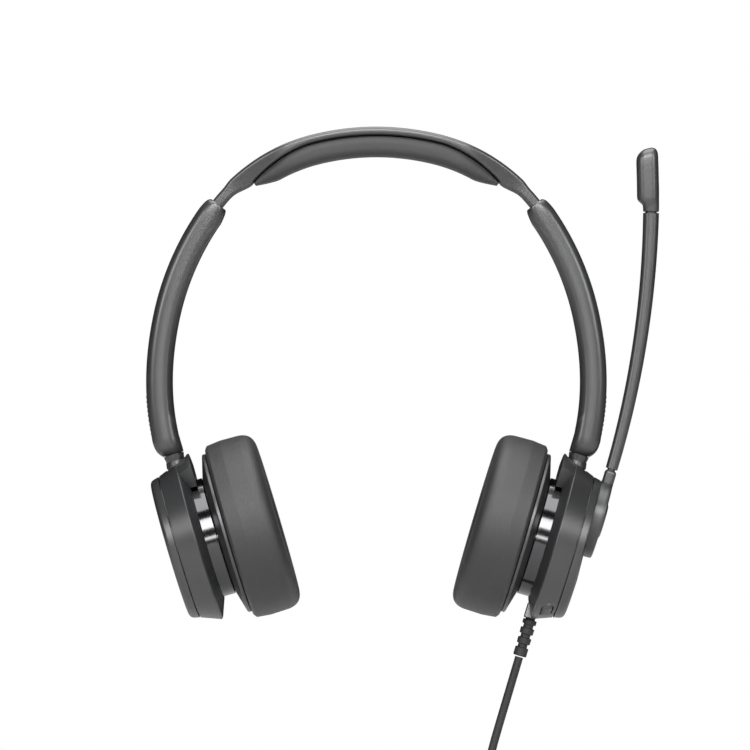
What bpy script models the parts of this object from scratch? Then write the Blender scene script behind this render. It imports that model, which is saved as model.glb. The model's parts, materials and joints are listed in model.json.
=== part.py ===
"""Wired office headset: sprung headband, sliding arms, two on-ear cups, microphone boom and cord.

All sizes are millimetres and become metres when a mesh is made.  The frame has +Z up, +X towards the
boom's side and -Y to the front, with the origin where the crown rests, under the middle of the pad.
One-sided pieces are written for the -X side; those of the +X side are the same shapes mirrored.
"""
from math import atan, cos, degrees, pi, radians, sin, sqrt

import bmesh
import bpy
from mathutils import Matrix, Vector

MM = 0.001
GAP = 0.3                      # clearance between neighbouring pieces

# Headband: angles are degrees from the vertical, depths are measured down from its top face
CROWN_RADIUS = 94.5
CROWN_END = 14.4
FLANK_RADIUS = 65.9
FLANK_END = 53.2
TRACK_RADIUS = 100.85          # top face of the ends that slide in the arms
BAND_WIDTH = 18.0
SHELL_DEPTH = 3.0
SHELL_END_DEPTH = 6.5          # where the pad runs out
PAD_DEPTH = 7.4
PAD_END = 38.0
PAD_OVERHANG = 1.0
TONGUE_STEP = 0.5              # top of the tongue below the top of the band
TONGUE_DEPTH = 4.2
TONGUE_WIDTH = 9.3
TONGUE_START = 47.0
TONGUE_END = 79.0
NOTCH_DEPTH = 0.4
SLOT_HEIGHT = 1.2
SLOT_WIDTH = 7.4
SPRING_THICKNESS = 0.6
SPRING_WIDTH = 5.0
LEAD_WIDTH = 1.1

# Arms: radii are measured from the centre of the sliding track
ARM_OUTER = 102.6
ARM_INNER = 93.2
ARM_WIDTH = 12.5
ARM_CORNER = 2.6
ARM_DRIFT = 0.9                # the arm leans out by this much towards its foot
ARM_MOUTH = 52.1
ARM_END_ANGLE = 101.0
COVER_DEPTH = 1.95
COVER_START = 57.0
COVER_END = 100.0
CAVITY_END = 99.0
LEAF_THICKNESS = 0.35
NECK_ANGLE = 109.0             # where the swivel axis leaves the arm
NECK_RADIUS = 97.8
NECK_RISE = 0.4                # neck point above the lip of the housing ring

# Ear cups: distances along the ear axis grow towards the head, from the swivel axis
CUP_TILT = 16.5
RING_DEPTH = 7.2
SEAM_RADIUS = 26.25
LIP_RADIUS = 29.0
FLARE_DEPTH = 2.9
RING_WALL = 1.5
CAP_DEPTH = 3.7
CAP_WALL = 1.4
CAP_ROUND = 2.6
HOOD_REACH = 5.2
HOOD_HEIGHT = 9.0
HOOD_HALF_ANGLE = 31.0
DRUM_RADIUS = 21.4
DRUM_WALL = 1.5
DRUM_SHOWN = 4.6
PLATE_DEPTH = 3.4
PLATE_RADIUS = 29.3
DRIVER_RADIUS = 13.3
SCREWS = 2
SCREW_CIRCLE = 18.2
SCREW_RADIUS = 0.8
CUSHION_RADIUS = 32.5
CUSHION_DEPTH = 18.2
CUSHION_ROUND = 9.0
EAR_HOLE_RADIUS = 13.0

# Swivel and tilt
SHAFT_RADIUS = 2.2
COLLAR_RADIUS = 3.75
NECK_BODY_RADIUS = 3.4
ARM_FOOT_RISE = 3.6            # foot of the arm above the lip of the ring
TILT_PIN_DROP = 2.4            # tilt pin below the lip of the ring
TILT_PIN_RADIUS = 1.0
TILT_PIN_HALF = 5.8
TANG_RADIUS = 2.6
TANG_HALF = 3.2

# Boom and its hub, about an axis parallel to the ear axis
BOOM_PIVOT_HEIGHT = 11.9
HUB_RADIUS = 14.0
HUB_THICKNESS = 4.1
SPINDLE_RADIUS = 7.6
BUTTON_RADIUS = 6.45
BUTTON_PROUD = 0.8
BUTTON_TRAVEL = 0.5
BOOM_HUB_CAP_DEPTH = 4.0       # the cap on the boom's side is a little deeper
SWING_FLOOR = 2.6              # the swept part of that cap lies this far above the seam
SWING_HALF_ANGLE = 136.0
STEM_TOP = 30.5
BOOM_ARC = 345.0
BOOM_LENGTH = 93.0
BOOM_THICKNESS_LOW = 4.2
BOOM_THICKNESS_HIGH = 5.64
BOOM_WIDTH = 7.0
MIC_LENGTH = 23.0

# Volume buttons on the lower part of the ring
VOLUME_ANGLE = 28.0
VOLUME_SETBACK = 4.2
VOLUME_WIDTH = 4.0
VOLUME_LENGTH = 6.5
VOLUME_PROUD = 0.4
VOLUME_DEPTH = 3.0

# Strain relief, cord and plug
RELIEF_RADIUS = 2.5
RELIEF_LENGTH = 13.4
RELIEF_ROOT_RADIUS = 1.7
CORD_DIAMETER = 3.0
COIL_CENTRE = (40.5, -256.0)
COIL_MIDDLE_RADIUS = 17.25
COIL_LAYERS = 4
PLUG_BODY = (15.4, 7.8, 26.0)
PLUG_SHELL = (12.0, 4.5, 11.8)
PLUG_SHELL_WALL = 0.4

# x and z in the plane y = 0: the cord from the strain relief down to the coil, then its tail at the plug
CORD_ROUTE = [
    (50.98, -178.75), (49.97, -182.2), (48.53, -187.0), (46.8, -192.85), (45.05, -198.75),
    (43.35, -204.5), (41.75, -210.1), (40.45, -215.3), (39.5, -219.9), (38.9, -223.9),
    (38.6, -227.0), (38.5, -229.3), (38.5, -230.9), (38.5, -232.4),
]
TAIL_ROUTE = [
    (18.75, -268.2), (18.75, -271.5), (18.75, -275.0), (18.75, -279.0), (18.75, -283.0), (18.75, -287.0),
]

TURN_STEPS = 28
SMALL_STEPS = 12
LEFT = "left"
RIGHT = "right"

GRAPHITE = ((0.045, 0.046, 0.048), 0.42, 0.0)
SOFT_BLACK = ((0.018, 0.018, 0.019), 0.75, 0.0)
DARK_CHROME = ((0.20, 0.20, 0.21), 0.12, 1.0)
BLACK_PLASTIC = ((0.015, 0.015, 0.016), 0.5, 0.0)
STEEL = ((0.55, 0.55, 0.56), 0.3, 1.0)
BRASS = ((0.72, 0.52, 0.24), 0.35, 1.0)
BOARD_GREEN = ((0.02, 0.12, 0.05), 0.5, 0.0)
CLEAR_FILM = ((0.25, 0.25, 0.22), 0.3, 0.0)

# Distances along the ear axis that follow from the sizes above
SEAM = -RING_DEPTH
CAP_FACE = SEAM - CAP_DEPTH
PLATE_BACK = FLARE_DEPTH + DRUM_SHOWN
PLATE_FRONT = PLATE_BACK + PLATE_DEPTH
CUSHION_BACK = PLATE_FRONT + GAP
CUSHION_FACE = CUSHION_BACK + CUSHION_DEPTH
FLARE_SLOPE = (LIP_RADIUS - SEAM_RADIUS) / RING_DEPTH
TILT_PIN_HEIGHT = LIP_RADIUS - TILT_PIN_DROP
FOOT_HEIGHT = LIP_RADIUS + ARM_FOOT_RISE
BEARING_TOP = FOOT_HEIGHT + 11.0
HUB_CAP_FACE = SEAM - BOOM_HUB_CAP_DEPTH
HUB_FLOOR = SEAM - GAP - SWING_FLOOR
HUB_BACK = HUB_FLOOR - GAP
HUB_FACE = HUB_BACK - HUB_THICKNESS
NUT_FACE = SEAM + GAP + 1.0
BOARD_BACK = NUT_FACE + GAP


def smooth_step(value, low, high):
    share = min(max((value - low) / (high - low), 0.0), 1.0)
    return share * share * (3 - 2 * share)


# --- scene helpers ---------------------------------------------------------------------------------

def clear_scene():
    for item in list(bpy.data.objects):
        bpy.data.objects.remove(item)


def add_frame(name, parent=None, place=(0, 0, 0), turn=0.0):
    """Empty that carries a moving piece; turn is in degrees about Y."""
    empty = bpy.data.objects.new(name, None)
    bpy.context.scene.collection.objects.link(empty)
    empty.parent = parent
    empty.location = Vector(place) * MM
    empty.rotation_euler = (0, radians(turn), 0)
    return empty


def add_object(name, shape, parent, shift, mirrored):
    if mirrored:
        shape.transform(Matrix.Scale(-1, 4, (1, 0, 0)))
        bmesh.ops.reverse_faces(shape, faces=shape.faces)
    shape.transform(Matrix.Scale(MM, 4))
    mesh = bpy.data.meshes.new(name)
    shape.to_mesh(mesh)
    shape.free()
    item = bpy.data.objects.new(name, mesh)
    bpy.context.scene.collection.objects.link(item)
    item.parent = parent
    item.location = Vector(shift) * MM
    return item


def paint(item, look):
    colour, roughness, metallic = look
    finish = bpy.data.materials.new(item.name)
    finish.use_nodes = True
    shader = finish.node_tree.nodes["Principled BSDF"]
    shader.inputs["Base Color"].default_value = (*colour, 1.0)
    shader.inputs["Roughness"].default_value = roughness
    shader.inputs["Metallic"].default_value = metallic
    item.data.materials.append(finish)


def add_piece(name, shape, look, parent=None, shift=(0, 0, 0), mirrored=False):
    item = add_object(name, shape, parent, shift, mirrored)
    item.data.shade_smooth()
    item.data.set_sharp_from_angle(angle=radians(35))
    paint(item, look)
    return item


def combine(piece, name, shape, operation="DIFFERENCE", mirrored=False):
    """Cut the piece with a hidden shape, or join the shape to it, in the piece's own coordinates."""
    tool = add_object(piece.name + "_" + name, shape, piece.parent, piece.location / MM, mirrored)
    tool.hide_render = True
    tool.display_type = "WIRE"
    step = piece.modifiers.new(name, "BOOLEAN")
    step.operation = operation
    step.object = tool


# --- shapes ----------------------------------------------------------------------------------------

def loft(loops, holes=None):
    """Solid through a row of loops; holes is a second row that leaves a passage from end to end."""
    shape = bmesh.new()
    skins = [[[shape.verts.new(point) for point in loop] for loop in row] for row in (loops, holes or [])]
    for skin in skins:
        for near, far in zip(skin, skin[1:]):
            for index in range(len(near)):
                last = index - 1
                shape.faces.new((near[last], near[index], far[index], far[last]))
    outer, inner = skins
    for end in (0, -1):
        if inner:
            for index in range(len(outer[end])):
                last = index - 1
                shape.faces.new((outer[end][last], outer[end][index], inner[end][index], inner[end][last]))
        else:
            shape.faces.new(outer[end])
    bmesh.ops.recalc_face_normals(shape, faces=shape.faces)
    bmesh.ops.triangulate(shape, faces=shape.faces)
    return shape


def turned(profile, steps=TURN_STEPS, axis=(1, 0, 0)):
    """Solid turned about an axis from (along, radius) points."""
    shape = bmesh.new()
    along = Vector(axis)
    across = Vector((0, 0, 1)) if axis[2] == 0 else Vector((1, 0, 0))
    verts = [shape.verts.new(along * place + across * radius) for place, radius in profile]
    pairs = list(zip(verts, verts[1:]))
    if min(radius for place, radius in profile) > 0:
        pairs.append((verts[-1], verts[0]))
    edges = [shape.edges.new(pair) for pair in pairs]
    bmesh.ops.spin(shape, geom=verts + edges, cent=(0, 0, 0), axis=axis, angle=2 * pi, steps=steps,
                   use_merge=True, use_duplicate=False)
    bmesh.ops.remove_doubles(shape, verts=shape.verts, dist=0.0001)
    bmesh.ops.recalc_face_normals(shape, faces=shape.faces)
    return shape


def sector(profile, half_angle, middle=0.0, steps=8):
    """Part of a turned solid about the ear axis; middle is degrees from the top towards the front."""
    loops = []
    for step in range(steps + 1):
        angle = radians(middle + half_angle * (2 * step / steps - 1))
        loops.append([(place, -radius * sin(angle), radius * cos(angle)) for place, radius in profile])
    return loft(loops)


def rod(radius, low, high, steps=SMALL_STEPS, axis=(1, 0, 0)):
    return turned([(low, 0), (low, radius), (high, radius), (high, 0)], steps, axis)


def block(low, high, corner=0.0):
    """Box between two corners, with its edges rounded when a corner radius is given."""
    shape = bmesh.new()
    bmesh.ops.create_cube(shape, size=1.0)
    low, high = Vector(low), Vector(high)
    shape.transform(Matrix.Translation((low + high) / 2) @ Matrix.Diagonal((*(high - low), 1.0)))
    if corner:
        bmesh.ops.bevel(shape, geom=shape.edges[:], offset=corner, segments=2, profile=0.5, affect="EDGES")
    return shape


def moved(shape, *steps):
    for step in steps:
        shape.transform(step)
    return shape


def shifted(shape, x=0.0, y=0.0, z=0.0):
    return moved(shape, Matrix.Translation((x, y, z)))


def round_rectangle(width, low, high, corner, steps=2):
    """(across, along) points of a rectangle with round corners."""
    points = []
    side = width / 2 - corner
    for across, along, start in ((side, high - corner, 0), (-side, high - corner, 90),
                                 (-side, low + corner, 180), (side, low + corner, 270)):
        for step in range(steps + 1):
            angle = radians(start + 90 * step / steps)
            points.append((across + corner * cos(angle), along + corner * sin(angle)))
    return points


def quarter(centre_along, centre_radius, half_along, half_radius, start, steps=4):
    """Quarter of an ellipse as (along, radius) points, from start degrees on."""
    points = []
    for step in range(steps + 1):
        angle = radians(start - 90 * step / steps)
        points.append((centre_along + half_along * cos(angle), centre_radius + half_radius * sin(angle)))
    return points


# --- where things are ------------------------------------------------------------------------------

def band_centres():
    """Centres of the crown, flank and track arcs of the +X half, as (x, z)."""
    crown = Vector((0, PAD_DEPTH + SHELL_DEPTH - CROWN_RADIUS))
    away = Vector((sin(radians(CROWN_END)), cos(radians(CROWN_END))))
    flank = crown + away * (CROWN_RADIUS - FLANK_RADIUS)
    away = Vector((sin(radians(FLANK_END)), cos(radians(FLANK_END))))
    track = flank + away * (FLANK_RADIUS - TRACK_RADIUS)
    return crown, flank, track


CROWN_CENTRE, FLANK_CENTRE, TRACK_CENTRE = band_centres()


def band_point(angle, depth):
    """Point (x, z) of the band at an angle, a depth below its top face."""
    size = abs(angle)
    centre, radius = TRACK_CENTRE, TRACK_RADIUS
    if size < CROWN_END:
        centre, radius = CROWN_CENTRE, CROWN_RADIUS
    elif size < FLANK_END:
        centre, radius = FLANK_CENTRE, FLANK_RADIUS
    place = centre + Vector((sin(radians(size)), cos(radians(size)))) * (radius - depth)
    return (place.x if angle > 0 else -place.x), place.y


def band_loop(angle, top, bottom, width, corner, steps=1):
    loop = []
    for across, depth in round_rectangle(width, top, bottom, corner, steps):
        x, z = band_point(angle, depth)
        loop.append((x, across, z))
    return loop


def angles_between(low, high, steps):
    return [low + (high - low) * step / steps for step in range(steps + 1)]


def band_width(angle):
    return BAND_WIDTH - (BAND_WIDTH - TONGUE_WIDTH) * smooth_step(abs(angle), 22, TONGUE_START - 1)


def shell_top(angle):
    return TONGUE_STEP * smooth_step(abs(angle), TONGUE_START - 4, TONGUE_START)


def shell_bottom(angle):
    size = abs(angle)
    swell = (SHELL_END_DEPTH - SHELL_DEPTH) * (max(size - 15, 0) / (PAD_END + 1 - 15)) ** 1.5
    before = SHELL_DEPTH + min(swell, SHELL_END_DEPTH - SHELL_DEPTH)
    after = TONGUE_STEP + TONGUE_DEPTH
    return before + (after - before) * smooth_step(size, PAD_END + 1, TONGUE_START)


def slot_depth(angle):
    crown = SHELL_DEPTH / 2
    tongue = TONGUE_STEP + TONGUE_DEPTH / 2
    return crown + (tongue - crown) * smooth_step(abs(angle), 30, TONGUE_START)


def polar(radius, angle):
    """(x, z) from the track's centre on the -X side."""
    return Vector((-radius * sin(radians(angle)), radius * cos(radians(angle))))


def cup_point(along, height):
    """(x, z) from the track's centre of a point given along the ear axis and along the swivel axis."""
    tilt = radians(CUP_TILT)
    inward = Vector((cos(tilt), sin(tilt)))
    upward = Vector((-sin(tilt), cos(tilt)))
    neck_height = LIP_RADIUS + NECK_RISE
    return polar(NECK_RADIUS, NECK_ANGLE) + inward * along + upward * (height - neck_height)


# --- headband --------------------------------------------------------------------------------------

def build_headband():
    angles = angles_between(-TONGUE_END, TONGUE_END, 40)
    loops, slots = [], []
    for number, angle in enumerate(angles):
        notch = NOTCH_DEPTH if abs(angle) > ARM_MOUTH and number % 2 else 0.0
        top, bottom = shell_top(angle), shell_bottom(angle) - notch
        loops.append(band_loop(angle, top, bottom, band_width(angle), 1.0))
        middle = slot_depth(angle)
        slots.append(band_loop(angle, middle - SLOT_HEIGHT / 2, middle + SLOT_HEIGHT / 2, SLOT_WIDTH, 0.3))
    add_piece("headband_shell", loft(loops, slots), GRAPHITE)

    side = SLOT_WIDTH / 2 - GAP
    strips = (("headband_spring", SPRING_WIDTH, side - SPRING_WIDTH / 2, STEEL),
              ("headband_lead", LEAD_WIDTH, -side + LEAD_WIDTH / 2, BLACK_PLASTIC))
    for name, width, middle, look in strips:
        loops = []
        for angle in angles_between(-TONGUE_END + 0.5, TONGUE_END - 0.5, 36):
            x, z = band_point(angle, slot_depth(angle) - SPRING_THICKNESS / 2)
            x_low, z_low = band_point(angle, slot_depth(angle) + SPRING_THICKNESS / 2)
            near, far = middle - width / 2, middle + width / 2
            loops.append([(x, near, z), (x, far, z), (x_low, far, z_low), (x_low, near, z_low)])
        add_piece(name, loft(loops), look)

    loops = []
    for angle in angles_between(-PAD_END, PAD_END, 22):
        top = shell_bottom(angle) + GAP
        thin = 3.0 * (max(abs(angle) - 29.5, 0) / (PAD_END - 29.5)) ** 1.5
        bottom = max(SHELL_DEPTH + PAD_DEPTH - thin, top + 0.8)
        corner = min(2.2, 0.45 * (bottom - top))
        loops.append(band_loop(angle, top, bottom, band_width(angle) + 2 * PAD_OVERHANG, corner, 2))
    add_piece("headband_pad", loft(loops), SOFT_BLACK)


# --- arms ------------------------------------------------------------------------------------------

def arm_drift(angle):
    return ARM_DRIFT * smooth_step(angle, 78, 104)


def arm_body():
    """Outside shape of an arm, shell and cover together."""
    mouth = ((0.0, 1.4, 1.5, 1.0), (0.5, 0.7, 1.0, 0.6), (1.3, 0.25, 0.6, 0.3))
    rows = [(polar(ARM_OUTER - outer, ARM_MOUTH + turn), polar(ARM_INNER + inner, ARM_MOUTH + turn),
             ARM_WIDTH - slim) for turn, outer, inner, slim in mouth]
    for angle in angles_between(ARM_MOUTH + 3, ARM_END_ANGLE, 12):
        drift = arm_drift(angle)
        rows.append((polar(ARM_OUTER + drift, angle), polar(ARM_INNER + drift, angle), ARM_WIDTH))
    foot = ((6.3, 2.15, 0.05, 0.0), (3.4, 2.15, 0.05, 0.1), (1.7, 1.85, 0.05, 0.4), (0.6, 1.1, 0.1, 1.0),
            (0.0, 0.4, 0.25, 2.0))
    for rise, outer, inner, slim in foot:
        height = FOOT_HEIGHT + rise
        rows.append((cup_point(-COLLAR_RADIUS - outer, height), cup_point(COLLAR_RADIUS - inner, height),
                     ARM_WIDTH - slim))
    loops = []
    for outer, inner, width in rows:
        span = inner - outer
        loop = []
        for across, along in round_rectangle(width, 0, span.length, ARM_CORNER):
            place = outer + span * (along / span.length)
            loop.append((place.x, across, place.y))
        loops.append(loop)
    return loft(loops)


def track_block(low_angle, high_angle, low_radius, high_radius, half_width, steps=10, round_ends=False):
    """Curved block about the track's centre; round ends bring its outer face down to its ends."""
    loops = []
    for angle in angles_between(low_angle, high_angle, steps):
        top = high_radius
        if round_ends:
            edge = min(angle - low_angle, high_angle - angle)
            top -= (1 - sqrt(min(edge / 1.6, 1.0))) * (COVER_DEPTH - 0.4)
        low, high = low_radius + arm_drift(angle), top + arm_drift(angle)
        loop = []
        corners = ((low, -half_width), (low, half_width), (high, half_width), (high, -half_width))
        for radius, across in corners:
            place = polar(radius, angle)
            loop.append((place.x, across, place.y))
        loops.append(loop)
    return loft(loops)


def swivel_rod(radius, low, high):
    """Rod on the swivel axis, in the arm's coordinates."""
    place = cup_point(0, 0)
    turn = Matrix.Rotation(radians(-CUP_TILT), 4, "Y")
    return moved(rod(radius, low, high, axis=(0, 0, 1)), turn, Matrix.Translation((place.x, 0, place.y)))


def build_arm(side, frame):
    mirrored = side == RIGHT
    tongue_top = TRACK_RADIUS - TONGUE_STEP
    cavity_low = tongue_top - TONGUE_DEPTH - GAP
    cavity_high = tongue_top + GAP
    half_cavity = TONGUE_WIDTH / 2 + GAP
    cover_top = ARM_INNER + COVER_DEPTH
    slack = degrees(GAP / ARM_INNER)

    shell = add_piece(side + "_arm_shell", arm_body(), GRAPHITE, frame, mirrored=mirrored)
    seat = track_block(COVER_START - slack, COVER_END + slack, ARM_INNER - 3, cover_top + GAP, ARM_WIDTH,
                       12, True)
    combine(shell, "seat", seat, mirrored=mirrored)
    passage = track_block(ARM_MOUTH - 3, CAVITY_END, cavity_low, cavity_high, half_cavity)
    combine(shell, "passage", passage, mirrored=mirrored)
    window = track_block(COVER_START + 1.5, CAVITY_END - 1, cover_top - 0.5, cavity_low + 0.5,
                         half_cavity - 0.2)
    combine(shell, "window", window, mirrored=mirrored)
    bearing = swivel_rod(SHAFT_RADIUS + GAP, FOOT_HEIGHT - 3, BEARING_TOP + 3)
    combine(shell, "bearing", bearing, mirrored=mirrored)
    clip_room = swivel_rod(half_cavity - 0.4, BEARING_TOP, BEARING_TOP + 3)
    combine(shell, "clip_room", clip_room, mirrored=mirrored)

    cover = add_piece(side + "_arm_cover", arm_body(), GRAPHITE, frame, mirrored=mirrored)
    inlay = track_block(COVER_START, COVER_END, ARM_INNER - 3, cover_top, ARM_WIDTH, 12, True)
    combine(cover, "inlay", inlay, "INTERSECT", mirrored)

    leaf_low = cover_top + GAP
    leaf = track_block(60, 70, leaf_low, leaf_low + LEAF_THICKNESS, 2.8, 6)
    add_piece(side + "_detent_spring", leaf, STEEL, frame, mirrored=mirrored)


# --- swivel and cups -------------------------------------------------------------------------------

def build_knuckle(side, frame, tilt_frame):
    mirrored = side == RIGHT
    clip_low, clip_high = BEARING_TOP + GAP, BEARING_TOP + 1.2
    groove = SHAFT_RADIUS - 0.5
    collar = FOOT_HEIGHT - GAP
    profile = [
        (clip_high + 1.0, 0), (clip_high + 1.0, SHAFT_RADIUS), (clip_high, SHAFT_RADIUS), (clip_high, groove),
        (clip_low, groove), (clip_low, SHAFT_RADIUS), (collar, SHAFT_RADIUS), (collar, COLLAR_RADIUS),
        (collar - 0.7, COLLAR_RADIUS), (collar - 1.1, NECK_BODY_RADIUS),
        (TILT_PIN_HEIGHT + 2.0, NECK_BODY_RADIUS - 0.2), (TILT_PIN_HEIGHT, TANG_RADIUS - 0.2),
        (TILT_PIN_HEIGHT, 0),
    ]
    body = turned(profile, 16, (0, 0, 1))
    knuckle = add_piece(side + "_knuckle", body, GRAPHITE, frame, mirrored=mirrored)
    tang = shifted(rod(TANG_RADIUS, -TANG_HALF, TANG_HALF, axis=(0, 1, 0)), z=TILT_PIN_HEIGHT)
    combine(knuckle, "tang", tang, "UNION", mirrored)
    bore = rod(TILT_PIN_RADIUS + GAP, -TANG_HALF - 1, TANG_HALF + 1, axis=(0, 1, 0))
    combine(knuckle, "bore", shifted(bore, z=TILT_PIN_HEIGHT), mirrored=mirrored)

    clip = [(clip_low + 0.1, groove + GAP), (clip_low + 0.1, SHAFT_RADIUS + 1.4),
            (clip_high - GAP, SHAFT_RADIUS + 1.4), (clip_high - GAP, groove + GAP)]
    add_piece(side + "_swivel_clip", turned(clip, 12, (0, 0, 1)), STEEL, frame, mirrored=mirrored)

    pin = shifted(rod(TILT_PIN_RADIUS, -TILT_PIN_HALF, TILT_PIN_HALF, axis=(0, 1, 0)), z=TILT_PIN_HEIGHT)
    add_piece(side + "_tilt_pin", pin, STEEL, tilt_frame, (0, 0, -TILT_PIN_HEIGHT), mirrored)


def cap_profile(face, floor):
    """Outside and inside of a cap as (along, radius) points; floor is the inner face of its plate."""
    side_radius = SEAM_RADIUS - (CAP_DEPTH - CAP_ROUND) * FLARE_SLOPE
    round_end = quarter(face + CAP_ROUND, side_radius - CAP_ROUND, CAP_ROUND, CAP_ROUND, 180, 4)
    inner_radius = SEAM_RADIUS - CAP_WALL
    inner = [(SEAM - GAP, SEAM_RADIUS - 0.1), (SEAM - GAP, inner_radius)]
    if floor < SEAM - GAP - 0.5:
        inner += [(floor + 1.0, inner_radius - 0.6), (floor, inner_radius - 2.0)]
    else:
        inner += [(floor, inner_radius - 0.3)]
    return [(face, 0)] + round_end + inner + [(floor, 0)]


def build_ring(side, frame, shift):
    mirrored = side == RIGHT
    throat = DRUM_RADIUS + GAP
    inner_corner = LIP_RADIUS - 2.0
    profile = [
        (SEAM, SEAM_RADIUS), (-0.15, LIP_RADIUS - 0.05), (0.2, LIP_RADIUS - 0.2),
        (FLARE_DEPTH, throat + 0.25), (FLARE_DEPTH - 0.1, throat), (FLARE_DEPTH - RING_WALL, throat),
        (-1.3, inner_corner),
        (SEAM, SEAM_RADIUS - RING_WALL),
    ]
    ring = add_piece(side + "_housing_ring", turned(profile), GRAPHITE, frame, shift, mirrored)

    hood_top = LIP_RADIUS + HOOD_REACH * 0.46
    hood_low = hood_top - HOOD_HEIGHT
    boss_low = TILT_PIN_HEIGHT - 2.1
    hood = [(-3.0, boss_low), (-3.0, LIP_RADIUS - 1.5), (0.0, LIP_RADIUS - 0.1),
            (HOOD_REACH - 0.3, hood_top - 0.1), (HOOD_REACH, hood_top - 0.4), (HOOD_REACH, hood_low),
            (FLARE_DEPTH - 0.5, hood_low), (1.0, boss_low)]
    combine(ring, "hood", sector(hood, HOOD_HALF_ANGLE), "UNION", mirrored)
    if side == RIGHT:
        gland = [(-3.0, LIP_RADIUS - 4.6), (-3.0, LIP_RADIUS - 1.5), (0.0, LIP_RADIUS - 0.05),
                 (2.4, LIP_RADIUS - 0.05), (2.4, LIP_RADIUS - 4.6)]
        combine(ring, "gland", sector(gland, 12, 180, 6), "UNION", mirrored)
        bore = rod(RELIEF_ROOT_RADIUS + GAP, -LIP_RADIUS - 2, -LIP_RADIUS + 6, axis=(0, 0, 1))
        combine(ring, "gland_bore", bore, mirrored=mirrored)
        for name, angle in (("front", VOLUME_ANGLE), ("rear", -VOLUME_ANGLE)):
            combine(ring, name + "_button_hole", volume_block(angle, GAP, 1.5), mirrored=mirrored)

    pocket_low = TILT_PIN_HEIGHT - TANG_RADIUS - 0.4
    pocket = block((-4.2, -TANG_HALF - 0.8, pocket_low), (4.2, TANG_HALF + 0.8, LIP_RADIUS + 9))
    combine(ring, "pocket", pocket, mirrored=mirrored)
    reach = TILT_PIN_HALF + GAP
    bore = shifted(rod(TILT_PIN_RADIUS + GAP, -reach, reach, axis=(0, 1, 0)), z=TILT_PIN_HEIGHT)
    combine(ring, "pin_bore", bore, mirrored=mirrored)


def volume_block(angle, slack, proud):
    """Block square to the ring's flank; angle is degrees from the bottom towards the front."""
    lean = Matrix.Rotation(-atan(FLARE_SLOPE), 4, "Y")
    radius = LIP_RADIUS - VOLUME_SETBACK * FLARE_SLOPE
    half_width, half_length = VOLUME_WIDTH / 2 + slack, VOLUME_LENGTH / 2 + slack
    shape = block((-half_width, -half_length, -VOLUME_DEPTH - 4 * slack), (half_width, half_length, proud),
                  1.0 + slack)
    shape = moved(shape, lean, Matrix.Translation((-VOLUME_SETBACK, 0, radius)))
    return moved(shape, Matrix.Rotation(radians(180 - angle), 4, "X"))


def build_drum(side, frame, shift):
    mirrored = side == RIGHT
    front = PLATE_BACK - GAP
    inner = DRUM_RADIUS - DRUM_WALL
    profile = [(front, inner), (front, DRUM_RADIUS), (-GAP, DRUM_RADIUS), (-GAP, DRUM_RADIUS + 1.5),
               (-1.4, DRUM_RADIUS + 1.5), (-1.4, inner)]
    drum = add_piece(side + "_drum", turned(profile), DARK_CHROME, frame, shift, mirrored)
    for number in range(SCREWS):
        turn = Matrix.Rotation(radians(90 + 360 / SCREWS * number), 4, "X")
        boss = moved(shifted(rod(2.0, 1.0, front - 0.5, 8), z=SCREW_CIRCLE), turn)
        combine(drum, "boss" + str(number), boss, "UNION", mirrored)
        hole = moved(shifted(rod(SCREW_RADIUS + GAP, 1.8, front + 2, 8), z=SCREW_CIRCLE), turn)
        combine(drum, "hole" + str(number), hole, mirrored=mirrored)


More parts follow.
